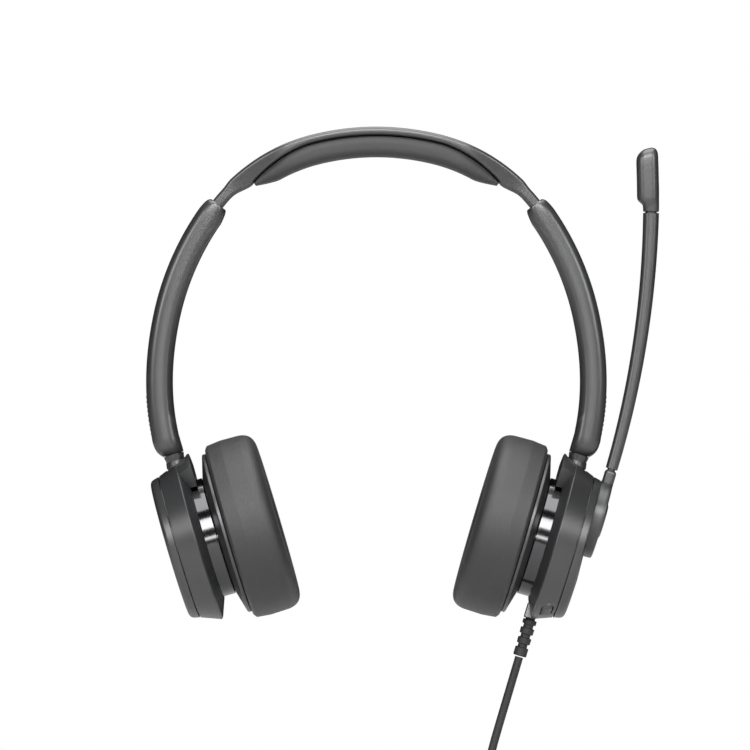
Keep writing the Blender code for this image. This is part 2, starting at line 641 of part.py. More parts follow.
def build_speaker(side, frame, shift):
    mirrored = side == RIGHT
    seat = DRIVER_RADIUS + GAP
    flange_seat = seat + 1.6
    profile = [
        (PLATE_BACK, seat), (PLATE_BACK, DRUM_RADIUS), (PLATE_FRONT - 1.2, PLATE_RADIUS),
        (PLATE_FRONT, PLATE_RADIUS), (PLATE_FRONT, flange_seat), (PLATE_FRONT - 1.2, flange_seat),
        (PLATE_FRONT - 1.2, seat),
    ]
    plate = add_piece(side + "_speaker_plate", turned(profile), GRAPHITE, frame, shift, mirrored)
    for number in range(SCREWS):
        turn = Matrix.Rotation(radians(90 + 360 / SCREWS * number), 4, "X")
        hole = rod(SCREW_RADIUS + GAP, PLATE_BACK - 2, PLATE_FRONT + 2, 8)
        combine(plate, "hole" + str(number), moved(shifted(hole, z=SCREW_CIRCLE), turn), mirrored=mirrored)
        sink = rod(1.9 + GAP, PLATE_FRONT - 1.3, PLATE_FRONT + 1, 8)
        combine(plate, "sink" + str(number), moved(shifted(sink, z=SCREW_CIRCLE), turn), mirrored=mirrored)
        screw = turned([(2.2, 0), (2.2, SCREW_RADIUS), (PLATE_FRONT - 1.0, SCREW_RADIUS),
                        (PLATE_FRONT - 1.0, 1.9), (PLATE_FRONT - 0.2, 1.6), (PLATE_FRONT - 0.2, 0)], 8)
        screw = moved(shifted(screw, z=SCREW_CIRCLE), turn)
        add_piece(side + "_plate_screw_" + str(number + 1), screw, STEEL, frame, shift, mirrored)

    flange = PLATE_FRONT - 1.2 + GAP
    basket = [(flange - 3.7, 3.0), (flange - 3.7, DRIVER_RADIUS - 0.7), (flange, DRIVER_RADIUS),
              (flange, flange_seat - GAP), (flange + 0.7, flange_seat - GAP),
              (flange + 0.7, DRIVER_RADIUS - 0.4),
              (flange - 2.8, DRIVER_RADIUS - 1.5), (flange - 2.8, 3.0)]
    add_piece(side + "_driver_basket", turned(basket, 20), BLACK_PLASTIC, frame, shift, mirrored)
    magnet = rod(9.0, flange - 3.7 - GAP - 2.6, flange - 3.7 - GAP, 24)
    add_piece(side + "_driver_magnet", magnet, STEEL, frame, shift, mirrored)
    cone = [(flange - 0.6, 0), (flange - 0.7, 5.0), (flange - 0.3, 9.0), (flange + 0.2, DRIVER_RADIUS - 0.9),
            (flange + 0.5, DRIVER_RADIUS - 0.9), (flange, 9.0), (flange - 0.4, 5.0), (flange - 0.1, 0)]
    add_piece(side + "_diaphragm", turned(cone, 16), CLEAR_FILM, frame, shift, mirrored)
    cloth = rod(EAR_HOLE_RADIUS - GAP, CUSHION_BACK, CUSHION_BACK + 0.6, 24)
    add_piece(side + "_speaker_cloth", cloth, SOFT_BLACK, frame, shift, mirrored)

    outer = quarter(CUSHION_FACE - CUSHION_ROUND, CUSHION_RADIUS - CUSHION_ROUND, CUSHION_ROUND,
                    CUSHION_ROUND, 90)
    inner = quarter(CUSHION_FACE - 2, EAR_HOLE_RADIUS + 2, 2, 2, 0, 2)
    profile = [(CUSHION_BACK, CUSHION_RADIUS - 1.6), (CUSHION_BACK + 0.5, CUSHION_RADIUS - 0.8),
               (CUSHION_BACK + 2.0, CUSHION_RADIUS - 0.2)] + outer + inner + [(CUSHION_BACK, EAR_HOLE_RADIUS)]
    add_piece(side + "_ear_cushion", turned(profile), SOFT_BLACK, frame, shift, mirrored)


# --- boom side -------------------------------------------------------------------------------------

def build_boom_cap(frame, shift):
    cap = add_piece("right_cap", turned(cap_profile(HUB_CAP_FACE, SEAM - GAP)), GRAPHITE, frame, shift, True)
    recess = shifted(rod(HUB_RADIUS + GAP, HUB_FLOOR - 9, HUB_FLOOR, TURN_STEPS), z=BOOM_PIVOT_HEIGHT)
    combine(cap, "hub_recess", recess, mirrored=True)
    wedge = [(HUB_FLOOR - 8, 2.0), (HUB_FLOOR - 8, 60.0), (HUB_FLOOR, 60.0), (HUB_FLOOR, 2.0)]
    swing = shifted(sector(wedge, SWING_HALF_ANGLE, 0, 20), z=BOOM_PIVOT_HEIGHT)
    combine(cap, "swing_recess", swing, mirrored=True)
    bore = shifted(rod(SPINDLE_RADIUS + GAP, HUB_FLOOR - 3, SEAM + 3, 28), z=BOOM_PIVOT_HEIGHT)
    combine(cap, "bore", bore, mirrored=True)

    rim_radius = SPINDLE_RADIUS + 1.0
    bore_radius = BUTTON_RADIUS + 0.35
    rim_face = HUB_FACE + 0.2
    spindle = [(rim_face, bore_radius), (rim_face, rim_radius), (rim_face + 0.9, rim_radius),
               (rim_face + 0.9, SPINDLE_RADIUS), (NUT_FACE, SPINDLE_RADIUS), (NUT_FACE, bore_radius)]
    spindle = shifted(turned(spindle, 24), z=BOOM_PIVOT_HEIGHT)
    add_piece("boom_spindle", spindle, BLACK_PLASTIC, frame, shift, True)
    nut = [(SEAM, SPINDLE_RADIUS + GAP), (SEAM, SPINDLE_RADIUS + 2.4), (NUT_FACE, SPINDLE_RADIUS + 2.4),
           (NUT_FACE, SPINDLE_RADIUS + GAP)]
    add_piece("spindle_nut", shifted(turned(nut, 12), z=BOOM_PIVOT_HEIGHT), BRASS, frame, shift, True)
    board = rod(17.0, BOARD_BACK + 0.9, BOARD_BACK + 1.9, 24)
    add_piece("circuit_board", board, BOARD_GREEN, frame, shift, True)
    switch = shifted(rod(1.8, BOARD_BACK, BOARD_BACK + 0.6, 12), z=BOOM_PIVOT_HEIGHT)
    add_piece("button_switch", switch, STEEL, frame, shift, True)


def build_boom(frame, shift):
    rim_room = SPINDLE_RADIUS + 1.0 + GAP
    hub_bore = SPINDLE_RADIUS + GAP
    groove_in, groove_out = hub_bore + 1.8, hub_bore + 3.4
    profile = [
        (HUB_FACE, rim_room), (HUB_FACE, HUB_RADIUS - 0.8), (HUB_FACE + 0.25, HUB_RADIUS - 0.25),
        (HUB_FACE + 0.8, HUB_RADIUS), (HUB_BACK, HUB_RADIUS), (HUB_BACK, groove_out),
        (HUB_BACK - 1.5, groove_out), (HUB_BACK - 1.5, groove_in), (HUB_BACK, groove_in),
        (HUB_BACK, hub_bore), (HUB_FACE + 1.4, hub_bore), (HUB_FACE + 1.4, rim_room),
    ]
    hub = add_piece("boom_hub", shifted(turned(profile), z=BOOM_PIVOT_HEIGHT), GRAPHITE, frame, shift, True)
    middle = HUB_BACK - HUB_THICKNESS / 2 - 0.1
    half = BOOM_THICKNESS_LOW / 2
    stem = block((middle - half, -BOOM_WIDTH / 2, BOOM_PIVOT_HEIGHT + HUB_RADIUS - 2.5),
                 (middle + half - 0.1, BOOM_WIDTH / 2, STEM_TOP - GAP), 0.9)
    combine(hub, "stem", stem, "UNION", True)
    ring = [(HUB_BACK - 1.5 + GAP, groove_in + GAP), (HUB_BACK - 1.5 + GAP, groove_out - GAP),
            (HUB_BACK, groove_out - GAP), (HUB_BACK, groove_in + GAP)]
    ring = shifted(turned(ring, 24), z=BOOM_PIVOT_HEIGHT)
    add_piece("friction_ring", ring, SOFT_BLACK, frame, shift, True)

    loops = []
    for step in range(12):
        share = step / 11
        angle = share * BOOM_LENGTH / BOOM_ARC
        thickness = BOOM_THICKNESS_LOW + (BOOM_THICKNESS_HIGH - BOOM_THICKNESS_LOW) * share
        loops.append(boom_loop(middle, angle, 0.0, 0.0, thickness / 2, BOOM_WIDTH / 2 * (1 - 0.06 * share)))
    add_piece("boom_arm", loft(loops), GRAPHITE, frame, shift, True)

    end = BOOM_LENGTH / BOOM_ARC
    rows = ((GAP, 0.0, 2.82, 3.3), (1.2, 0.2, 3.05, 3.5), (2.8, 0.75, 3.5, 3.9), (5.0, 1.04, 3.86, 4.2),
            (12.0, 1.4, 3.9, 4.3), (18.5, 1.7, 3.85, 4.25), (21.0, 1.75, 3.4, 3.8), (22.4, 1.6, 2.5, 2.9),
            (MIC_LENGTH, 1.4, 1.3, 1.7))
    loops = [boom_loop(middle, end, height, lean, half, wide) for height, lean, half, wide in rows]
    head = add_piece("microphone_head", loft(loops), BLACK_PLASTIC, frame, shift, True)
    port = block((2.0, -1.9, 10.0), (8.0, 1.9, 17.0))
    combine(head, "port", head_shape(port, middle), mirrored=True)
    capsule = shifted(rod(1.5, 2.0 + GAP, 3.9, 16), z=13.5)
    add_piece("microphone_capsule", head_shape(capsule, middle), STEEL, frame, shift, True)
    screen = block((4.4, -1.6, 10.3), (5.0, 1.6, 16.7))
    add_piece("microphone_screen", head_shape(screen, middle), SOFT_BLACK, frame, shift, True)


def head_shape(shape, middle):
    """Put a shape given from the boom's end, x inward and z along it, in its place."""
    angle = BOOM_LENGTH / BOOM_ARC
    place = Vector((middle + BOOM_ARC * (1 - cos(angle)), 0, STEM_TOP + BOOM_ARC * sin(angle)))
    return moved(shape, Matrix.Rotation(angle, 4, "Y"), Matrix.Translation(place))


def boom_loop(middle, angle, height, lean, half, wide):
    """Round-cornered loop across the boom at an angle along its arc, raised and moved inward."""
    place = Vector((middle + BOOM_ARC * (1 - cos(angle)), STEM_TOP + BOOM_ARC * sin(angle)))
    along, inward = Vector((sin(angle), cos(angle))), Vector((cos(angle), -sin(angle)))
    loop = []
    for across, out in round_rectangle(2 * wide, lean - half, lean + half, min(half, wide) * 0.7, 3):
        point = place + along * height + inward * out
        loop.append((point.x, across, point.y))
    return loop


def build_buttons(cup_frame):
    frame = add_frame("centre_button_press", cup_frame, (0, 0, BOOM_PIVOT_HEIGHT - TILT_PIN_HEIGHT))
    face = HUB_FACE - BUTTON_PROUD
    stem_end = BOARD_BACK - GAP - BUTTON_TRAVEL
    profile = [(face, 0), (face, BUTTON_RADIUS - 0.5), (face + 0.4, BUTTON_RADIUS),
               (face + 2.4, BUTTON_RADIUS), (face + 2.4, 1.5), (stem_end, 1.5), (stem_end, 0)]
    add_piece("centre_button", turned(profile, 24), GRAPHITE, frame, mirrored=True)
    for name, angle in (("volume_up_button", VOLUME_ANGLE), ("volume_down_button", -VOLUME_ANGLE)):
        frame = add_frame(name + "_press", cup_frame, (0, 0, -TILT_PIN_HEIGHT))
        add_piece(name, volume_block(angle, 0.0, VOLUME_PROUD), GRAPHITE, frame, mirrored=True)


# --- cord ------------------------------------------------------------------------------------------

def smooth_route(route, spacing):
    """Evenly spread points along a smooth curve through the route's own points."""
    points = [Vector((x, 0, z)) for x, z in route]
    ends = [2 * points[0] - points[1]] + points + [2 * points[-1] - points[-2]]
    result = []
    for index in range(1, len(ends) - 2):
        before, start, end, after = ends[index - 1:index + 3]
        steps = max(1, round((end - start).length / spacing))
        for step in range(steps):
            share = step / steps
            result.append(0.5 * (2 * start + (end - before) * share
                                 + (2 * before - 5 * start + 4 * end - after) * share ** 2
                                 + (3 * start - 3 * end + after - before) * share ** 3))
    return result + [points[-1]]


def add_cord(name, route):
    curve = bpy.data.curves.new(name, "CURVE")
    curve.dimensions = "3D"
    curve.bevel_depth = CORD_DIAMETER / 2 * MM
    curve.bevel_resolution = 2
    curve.use_fill_caps = True
    spline = curve.splines.new("POLY")
    points = smooth_route(route, 2.0 * CORD_DIAMETER)
    spline.points.add(len(points) - 1)
    for knot, point in zip(spline.points, points):
        knot.co = (*(point * MM), 1.0)
    item = bpy.data.objects.new(name, curve)
    bpy.context.scene.collection.objects.link(item)
    paint(item, SOFT_BLACK)


def build_relief(frame, shift):
    top = -LIP_RADIUS - GAP
    end = top - RELIEF_LENGTH
    profile = [(-LIP_RADIUS + 4.2, 0), (-LIP_RADIUS + 4.2, RELIEF_ROOT_RADIUS), (top, RELIEF_ROOT_RADIUS),
               (top, RELIEF_RADIUS)]
    low = top - 1.6
    for number in range(3):
        width = RELIEF_RADIUS - 0.05 * number
        profile += [(low, width), (low, width - 0.7), (low - 1.5, width - 0.7), (low - 1.5, width)]
        low -= 3.6
    profile += [(end, RELIEF_RADIUS - 0.1), (end, 0)]
    add_piece("strain_relief", turned(profile, 12, (0, 0, 1)), SOFT_BLACK, frame, shift, True)


def build_stored_cord():
    add_cord("cord", CORD_ROUTE)
    add_cord("cord_tail", TAIL_ROUTE)
    x, z = COIL_CENTRE
    half = COIL_LAYERS * CORD_DIAMETER / 2
    square = round_rectangle(2 * half, -half, half, 1.3, 1)
    section = [(across, COIL_MIDDLE_RADIUS + along) for across, along in square]
    coil = shifted(turned(section, 32, (0, 1, 0)), x, 0, z)
    add_piece("cord_coil", coil, SOFT_BLACK)

    tie_half, tie_width, tie_thickness = half + GAP + 0.1, 6.0, 1.1
    sag = COIL_MIDDLE_RADIUS - half - sqrt((COIL_MIDDLE_RADIUS - half) ** 2 - (tie_width / 2) ** 2)
    rows = []
    for thickness in (tie_thickness, 0.0):
        loop = round_rectangle(2 * (tie_half + thickness), -tie_half - thickness, tie_half + thickness + sag,
                               0.8 + thickness)
        low = z - COIL_MIDDLE_RADIUS
        ends = (-tie_width / 2, tie_width / 2)
        rows.append([[(x + end, across, low + up) for across, up in loop] for end in ends])
    add_piece("cord_tie", loft(*rows), SOFT_BLACK)


def build_plug():
    x, top = TAIL_ROUTE[-1][0], TAIL_ROUTE[-1][1] - GAP
    width, depth, height = PLUG_BODY
    rows = ((0.0, 5.0, 5.0), (-0.8, 5.6, 5.6), (-5.0, 6.4, 6.2), (-7.5, width - 1.6, depth - 0.6),
            (-9.0, width, depth), (-height + 0.6, width, depth), (-height, width - 1.0, depth - 1.0))
    loops = []
    for drop, wide, deep in rows:
        loop = round_rectangle(deep, -wide / 2, wide / 2, min(wide, deep) * 0.3)
        loops.append([(x + out, across, top + drop) for across, out in loop])
    add_piece("plug_body", loft(loops), SOFT_BLACK)

    shell_top_z = top - height - GAP
    wide, deep, long = PLUG_SHELL
    rows = []
    for wall in (0.0, PLUG_SHELL_WALL):
        loop = round_rectangle(deep - 2 * wall, -wide / 2 + wall, wide / 2 - wall, 0.7 - wall)
        levels = (shell_top_z, shell_top_z - long)
        rows.append([[(x + out, across, level) for across, out in loop] for level in levels])
    add_piece("plug_shell", loft(*rows), STEEL)
    inside = PLUG_SHELL_WALL + GAP
    tongue = block((x - wide / 2 + inside, -deep / 2 + inside, shell_top_z - long + 1.0),
                   (x + wide / 2 - inside, -deep / 2 + inside + 1.8, shell_top_z))
    add_piece("plug_tongue", tongue, BLACK_PLASTIC)


# --- assembly --------------------------------------------------------------------------------------

def build_side(side):
    mirrored = side == RIGHT
    sign = 1 if mirrored else -1
    arm_frame = add_frame(side + "_slide_centre", None, (sign * TRACK_CENTRE.x, 0, TRACK_CENTRE.y))
    build_arm(side, arm_frame)

    centre = cup_point(0, 0)
    place = (-sign * centre.x, 0, centre.y)
    swivel_frame = add_frame(side + "_swivel_axis", arm_frame, place, sign * CUP_TILT)
    tilt_frame = add_frame(side + "_tilt_axis", swivel_frame, (0, 0, TILT_PIN_HEIGHT))
    shift = (0, 0, -TILT_PIN_HEIGHT)
    build_knuckle(side, swivel_frame, tilt_frame)
    build_ring(side, tilt_frame, shift)
    build_drum(side, tilt_frame, shift)
    build_speaker(side, tilt_frame, shift)
    if side == LEFT:
        cap = turned(cap_profile(CAP_FACE, CAP_FACE + CAP_WALL))
        add_piece("left_cap", cap, GRAPHITE, tilt_frame, shift)
        return
    build_boom_cap(tilt_frame, shift)
    boom_frame = add_frame("boom_axis", tilt_frame, (0, 0, BOOM_PIVOT_HEIGHT - TILT_PIN_HEIGHT))
    build_boom(boom_frame, (0, 0, -BOOM_PIVOT_HEIGHT))
    build_buttons(tilt_frame)
    build_relief(tilt_frame, shift)


def main():
    clear_scene()
    build_headband()
    build_side(LEFT)
    build_side(RIGHT)
    build_stored_cord()
    build_plug()


main()
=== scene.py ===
import json
from math import atan, cos, degrees, pi, radians, sin, sqrt

import bmesh
import bpy
from mathutils import Matrix, Vector


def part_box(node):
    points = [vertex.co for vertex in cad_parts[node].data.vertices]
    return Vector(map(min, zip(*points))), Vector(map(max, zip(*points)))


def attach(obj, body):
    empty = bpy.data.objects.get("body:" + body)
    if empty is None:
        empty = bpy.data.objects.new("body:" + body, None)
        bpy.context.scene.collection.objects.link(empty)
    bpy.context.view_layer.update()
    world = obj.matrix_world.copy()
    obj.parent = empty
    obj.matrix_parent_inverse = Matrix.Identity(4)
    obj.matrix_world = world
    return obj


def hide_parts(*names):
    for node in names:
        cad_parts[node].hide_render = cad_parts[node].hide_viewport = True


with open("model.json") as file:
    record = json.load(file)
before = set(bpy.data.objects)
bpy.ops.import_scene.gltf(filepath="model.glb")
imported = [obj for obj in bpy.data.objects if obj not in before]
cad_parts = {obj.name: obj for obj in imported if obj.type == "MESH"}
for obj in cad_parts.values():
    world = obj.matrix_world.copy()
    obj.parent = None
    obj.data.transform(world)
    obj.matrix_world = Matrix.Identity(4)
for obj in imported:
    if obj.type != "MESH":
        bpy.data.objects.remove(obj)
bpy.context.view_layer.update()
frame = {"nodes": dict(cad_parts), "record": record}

mm = 0.001
gap = 0.3 * mm
weldDistance = 1e-6
softAngle = 45      # soft forms are shaded past this angle and have no flat faces to weigh
alongY, alongZ = (0, 1, 0), (0, 0, 1)
joints = {joint["name"]: joint for joint in frame["record"]["behaviour"]["joints"]}


# ---- camera, first because the cord is checked against its view ----

photoView = {"distance": 2.2, "viewWidth": 0.2679, "centre": (-0.0005, 0.0, -0.078), "sensor": 36.0}


def makeCamera(values):
    x, y, z = values["centre"]
    bpy.ops.object.camera_add(location=(x, y - values["distance"], z), rotation=(radians(90), 0, 0))
    camera = bpy.context.object
    camera.name = "frontCamera"
    camera.data.sensor_width = values["sensor"]
    camera.data.lens = values["sensor"] * values["distance"] / values["viewWidth"]
    camera.data.clip_end = 20
    bpy.context.scene.camera = camera


# ---- modelling helpers ----

def deselectAll():
    if bpy.context.mode != "OBJECT":
        bpy.ops.object.mode_set(mode="OBJECT")
    bpy.ops.object.select_all(action="DESELECT")


def pick(piece):
    deselectAll()
    piece.select_set(True)
    bpy.context.view_layer.objects.active = piece


def applyPlace(piece, matrix=None):
    # bake the object's place into its mesh, so that the object itself sits at the origin
    if matrix is not None:
        piece.matrix_world = matrix @ piece.matrix_world
    pick(piece)
    bpy.ops.object.transform_apply(location=True, rotation=True, scale=True)
    return piece


def openMesh():
    bpy.ops.object.mode_set(mode="EDIT")
    bpy.ops.mesh.select_all(action="SELECT")


def closeMesh():
    bpy.ops.object.mode_set(mode="OBJECT")


def tidyMesh(piece):
    pick(piece)
    openMesh()
    bpy.ops.mesh.remove_doubles(threshold=weldDistance)
    bpy.ops.mesh.delete_loose()
    bpy.ops.mesh.select_all(action="SELECT")
    bpy.ops.mesh.normals_make_consistent(inside=False)
    closeMesh()
    return piece


def applyModifier(piece, kind, **settings):
    pick(piece)
    modifier = piece.modifiers.new(kind.title(), kind)
    for key, value in settings.items():
        setattr(modifier, key, value)
    bpy.ops.object.modifier_apply(modifier=modifier.name)
    return piece


def boolean(piece, tool, operation="DIFFERENCE"):
    applyModifier(piece, "BOOLEAN", object=tool, operation=operation, solver="EXACT")
    bpy.data.objects.remove(tool)
    return piece


def joinPieces(piece, others):
    pick(piece)
    for other in others:
        other.select_set(True)
    bpy.ops.object.join()
    return piece


def sweep(name, loops):
    # a filled circle is extruded from loop to loop, and its corners are set on each loop
    deselectAll()
    bpy.ops.mesh.primitive_circle_add(vertices=len(loops[0]), radius=0.01, fill_type="NGON")
    piece = bpy.context.object
    piece.name = name
    bpy.ops.object.mode_set(mode="EDIT")
    for number, loop in enumerate(loops):
        if number:
            bpy.ops.mesh.extrude_region_move()
        shape = bmesh.from_edit_mesh(piece.data)
        end = next(face for face in shape.faces if face.select)
        for corner, point in zip(end.loops, loop):
            corner.vert.co = point
        bmesh.update_edit_mesh(piece.data)
    closeMesh()
    return tidyMesh(piece)


def lathe(name, profile, steps=128, axis=(1, 0, 0)):
    # the outline is set on a circle's corners and spun about the axis, which runs through the origin
    deselectAll()
    bpy.ops.mesh.primitive_circle_add(vertices=len(profile), radius=0.01, fill_type="NOTHING")
    piece = bpy.context.object
    piece.name = name
    along = Vector(axis)
    across = Vector((1, 0, 0)) if along.x < 0.5 else Vector((0, 0, 1))
    for vert, (place, radius) in zip(piece.data.vertices, profile):
        vert.co = along * place + across * radius
    openMesh()
    bpy.ops.mesh.spin(steps=steps, angle=2 * pi, center=(0, 0, 0), axis=axis)
    closeMesh()
    return tidyMesh(piece)


def cylinder(name, radius, low, high, steps, axis=(1, 0, 0)):
    return lathe(name, [(low, 0), (low, radius), (high, radius), (high, 0)], steps, axis)


def box(name, low, high, round=0.0, segments=4):
    # a cube between two corners, with its edges bevelled when round is given
    deselectAll()
    low, high = Vector(low), Vector(high)
    bpy.ops.mesh.primitive_cube_add(size=1, location=(low + high) / 2)
    piece = bpy.context.object
    piece.name = name
    piece.scale = high - low
    applyPlace(piece)
    if round:
        openMesh()
        bpy.ops.mesh.bevel(offset=round, segments=segments, affect="EDGES")
        closeMesh()
    return piece


def filleted(corners, steps=5):
    # (along, radius, fillet in mm) corners become (along, radius) points with round corners
    points = []
    for number, (along, radius, fillet) in enumerate(corners):
        here = Vector((along, radius))
        if not fillet:
            points.append((along, radius))
            continue
        before = Vector(corners[number - 1][:2]) - here
        after = Vector(corners[(number + 1) % len(corners)][:2]) - here
        half = before.angle(after) / 2
        reach = min(fillet * mm / max(sin(half) / cos(half), 1e-6), before.length * 0.49, after.length * 0.49)
        start, end = here + before.normalized() * reach, here + after.normalized() * reach
        for step in range(steps + 1):
            share = step / steps
            # a quadratic through the corner is close to the arc on these small fillets
            point = start * (1 - share) ** 2 + here * 2 * share * (1 - share) + end * share ** 2
            points.append((point.x, point.y))
    return points


def roundRectangle(width, low, high, round, steps=5):
    points = []
    side = width / 2 - round
    for across, along, start in ((side, high - round, 0), (-side, high - round, 90),
                                 (-side, low + round, 180), (side, low + round, 270)):
        for step in range(steps + 1):
            angle = radians(start + 90 * step / steps)
            points.append((across + round * cos(angle), along + round * sin(angle)))
    return points


def pillow(width, low, high, round, crown, steps=5, between=3):
    # a round rectangle whose long faces swell gently between their edges
    points = roundRectangle(width, low, high, round, steps)
    middle, half = (low + high) / 2, (high - low) / 2
    result = []
    for number, point in enumerate(points):
        following = points[(number + 1) % len(points)]
        result.append(point)
        if number % (steps + 1) == steps:
            for step in range(1, between + 1):
                share = step / (between + 1)
                result.append(tuple(a + (b - a) * share for a, b in zip(point, following)))
    return [(across * (1 - crown * ((along - middle) / half) ** 2), along) for across, along in result]


def smoothStep(value, low, high):
    share = min(max((value - low) / (high - low), 0.0), 1.0)
    return share * share * (3 - 2 * share)


def between(low, high, steps):
    return [low + (high - low) * step / steps for step in range(steps + 1)]


def smoothShade(piece, angle):
    pick(piece)
    bpy.ops.object.shade_smooth_by_angle(angle=radians(angle))
    return piece


def toRight(piece):
    # the +X side is the -X side turned over
    piece.scale = (-1, 1, 1)
    applyPlace(piece)
    openMesh()
    bpy.ops.mesh.normals_make_consistent(inside=False)
    closeMesh()
    return piece


def mirrored(piece, name):
    # a copy on the other side, with a mesh of its own
    pick(piece)
    bpy.ops.object.duplicate()
    other = bpy.context.object
    other.name = name
    return toRight(other)


def settle(piece, finish, body, node=None, angle=32):
    piece.data.materials.clear()
    piece.data.materials.append(finish)
    smoothShade(piece, angle)
    if angle < softAngle:
        applyModifier(piece, "WEIGHTED_NORMAL", keep_sharp=True, weight=60)
    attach(piece, body)
    if node:
        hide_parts(node)


def bothSides(piece, finish, node, angle=30, bodyPart="cup"):
    # the left piece and its mirrored copy, each riding on its own side's body
    other = mirrored(piece, piece.name.replace("left", "right"))
    for side, part in (("left", piece), ("right", other)):
        settle(part, finish, side + "_" + bodyPart, side + "_" + node, angle)
    return piece, other


# ---- finishes ----

class Wire:
    # a shader socket that can be added, multiplied and so on
    def __init__(self, finish, socket):
        self.finish = finish
        self.socket = socket

    def maths(self, operation, other, flipped=False):
        first, second = (other, self) if flipped else (self, other)
        return self.finish.node("ShaderNodeMath", {"operation": operation}, {0: first, 1: second})

    def __add__(self, other):
        return self.maths("ADD", other)

    def __radd__(self, other):
        return self.maths("ADD", other, True)

    def __sub__(self, other):
        return self.maths("SUBTRACT", other)

    def __rsub__(self, other):
        return self.maths("SUBTRACT", other, True)

    def __mul__(self, other):
        return self.maths("MULTIPLY", other)


class Finish:
    def __init__(self, name, **constants):
        self.material = bpy.data.materials.new(name)
        self.material.use_nodes = True
        self.tree = self.material.node_tree
        self.shader = self.tree.nodes["Principled BSDF"]
        self.place = self.node("ShaderNodeTexCoord", output="Object")
        for key, value in constants.items():
            self.set(key, value)

    def node(self, kind, settings=None, sockets=None, output=0):
        made = self.tree.nodes.new(kind)
        for key, value in (settings or {}).items():
            setattr(made, key, value)
        for key, value in (sockets or {}).items():
            self.plug(value, made.inputs[key])
        return Wire(self, made.outputs[output])

    def plug(self, value, socket):
        if isinstance(value, Wire):
            self.tree.links.new(value.socket, socket)
        else:
            socket.default_value = value

    def set(self, key, value):
        self.plug(value, self.shader.inputs[key.replace("_", " ")])

    def noise(self, scale, detail=3.0, roughness=0.5, stretch=None):
        return self.node("ShaderNodeTexNoise", {}, {"Vector": self.stretched(stretch), "Scale": scale,
                                                    "Detail": detail, "Roughness": roughness})

    def cells(self, scale, feature, **extra):
        return self.node("ShaderNodeTexVoronoi", {"feature": feature},
                         {"Vector": self.place, "Scale": scale, **extra}, "Distance")

    def stretched(self, stretch):
        if stretch is None:
            return self.place
        return self.node("ShaderNodeMapping", {}, {"Vector": self.place, "Scale": stretch})

    def ramp(self, value, low, high):
        return self.node("ShaderNodeMapRange", {"clamp": True},
                         {"Value": value, "From Min": low, "From Max": high})

    def mix(self, factor, first, second):
        # the colour mix has its factor at input 0, its colours at 6 and 7, and its result at output 2
        first, second = ((*shade, 1) if isinstance(shade, tuple) else shade for shade in (first, second))
        return self.node("ShaderNodeMix", {"data_type": "RGBA"}, {0: factor, 6: first, 7: second}, 2)

    def bump(self, height, strength, distance, under=None):
        sockets = {"Height": height, "Strength": strength, "Distance": distance}
        if under is not None:
            sockets["Normal"] = under
        return self.node("ShaderNodeBump", {}, sockets)

    def wear(self, low=0.53, high=0.6):
        # worn edges, where the surface is most convex
        return self.ramp(self.node("ShaderNodeNewGeometry", {}, {}, "Pointiness"), low, high)


def scaled(colour, share):
    return tuple(part * share for part in colour)


def grainedPlastic(name, colour, roughness, grain=5200, depth=0.012, worn=0.35):
    # moulded plastic with a spark-eroded grain, faint handling marks and rubbed edges
    finish = Finish(name, Specular_IOR_Level=1.0)
    clouds = finish.noise(55, 4.0, 0.6)
    fine = finish.noise(grain, 2.0, 0.6)
    edge = finish.wear() * worn
    light = tuple(min(1.0, part * 1.9 + 0.01) for part in colour)
    body = finish.mix(clouds, scaled(colour, 0.86), scaled(colour, 1.12))
    finish.set("Base_Color", finish.mix(edge, body, light))
    finish.set("Roughness", roughness - 0.05 + clouds * 0.09 + fine * 0.03 - edge * 0.08)
    finish.set("Normal", finish.bump(fine, 0.35, depth * mm))
    return finish.material


def leatherette(name, colour, roughness, pebble=3000, depth=0.05):
    # soft coated fabric: small pebbles with creases between them, painted shade in those creases, and broad
    # soft wrinkles
    finish = Finish(name, Specular_IOR_Level=0.8, Sheen_Weight=0.04, Sheen_Roughness=0.5)
    pebbles = finish.cells(pebble, "SMOOTH_F1", Smoothness=0.35)
    creasesAndShade = finish.ramp(finish.cells(pebble, "DISTANCE_TO_EDGE"), 0.0, 0.25)
    creases = finish.noise(190, 5.0, 0.62)
    clouds = finish.noise(38, 3.0, 0.5)
    body = finish.mix(clouds, scaled(colour, 0.8), scaled(colour, 1.2))
    # painted shade: the base colour is darkened in the creases between the pebbles
    finish.set("Base_Color", finish.mix(creasesAndShade, scaled(colour, 0.75), body))
    finish.set("Roughness", roughness + 0.1 - creasesAndShade * 0.08 + clouds * 0.08 - 0.04)
    wrinkled = finish.bump(creases, 0.25, 0.12 * mm)
    finish.set("Normal", finish.bump(creasesAndShade * 0.6 - pebbles * 0.6, 0.8, depth * mm, wrinkled))
    return finish.material


def polishedMetal(name, colour, roughness, scratches=0.02):
    # plated metal with faint polishing marks and a slight haze
    finish = Finish(name, Metallic=1.0)
    haze = finish.noise(45, 4.0, 0.6)
    marks = finish.noise(900, 2.0, 0.5, stretch=(0.08, 1, 1))
    finish.set("Base_Color", finish.mix(haze, scaled(colour, 0.92), colour))
    finish.set("Roughness", roughness + haze * 0.05 + marks * scratches)
    finish.set("Normal", finish.bump(marks, 0.03, 0.01 * mm))
    return finish.material


def softRubber(name, colour, roughness):
    # matt jacket with a fine dusty grain
    finish = Finish(name)
    fine = finish.noise(4200, 3.0, 0.6)
    dust = finish.noise(120, 5.0, 0.6)
    finish.set("Base_Color", finish.mix(finish.ramp(dust, 0.45, 0.8), colour, scaled(colour, 1.5)))
    finish.set("Roughness", roughness + dust * 0.1)
    finish.set("Normal", finish.bump(fine, 0.35, 0.02 * mm))
    return finish.material


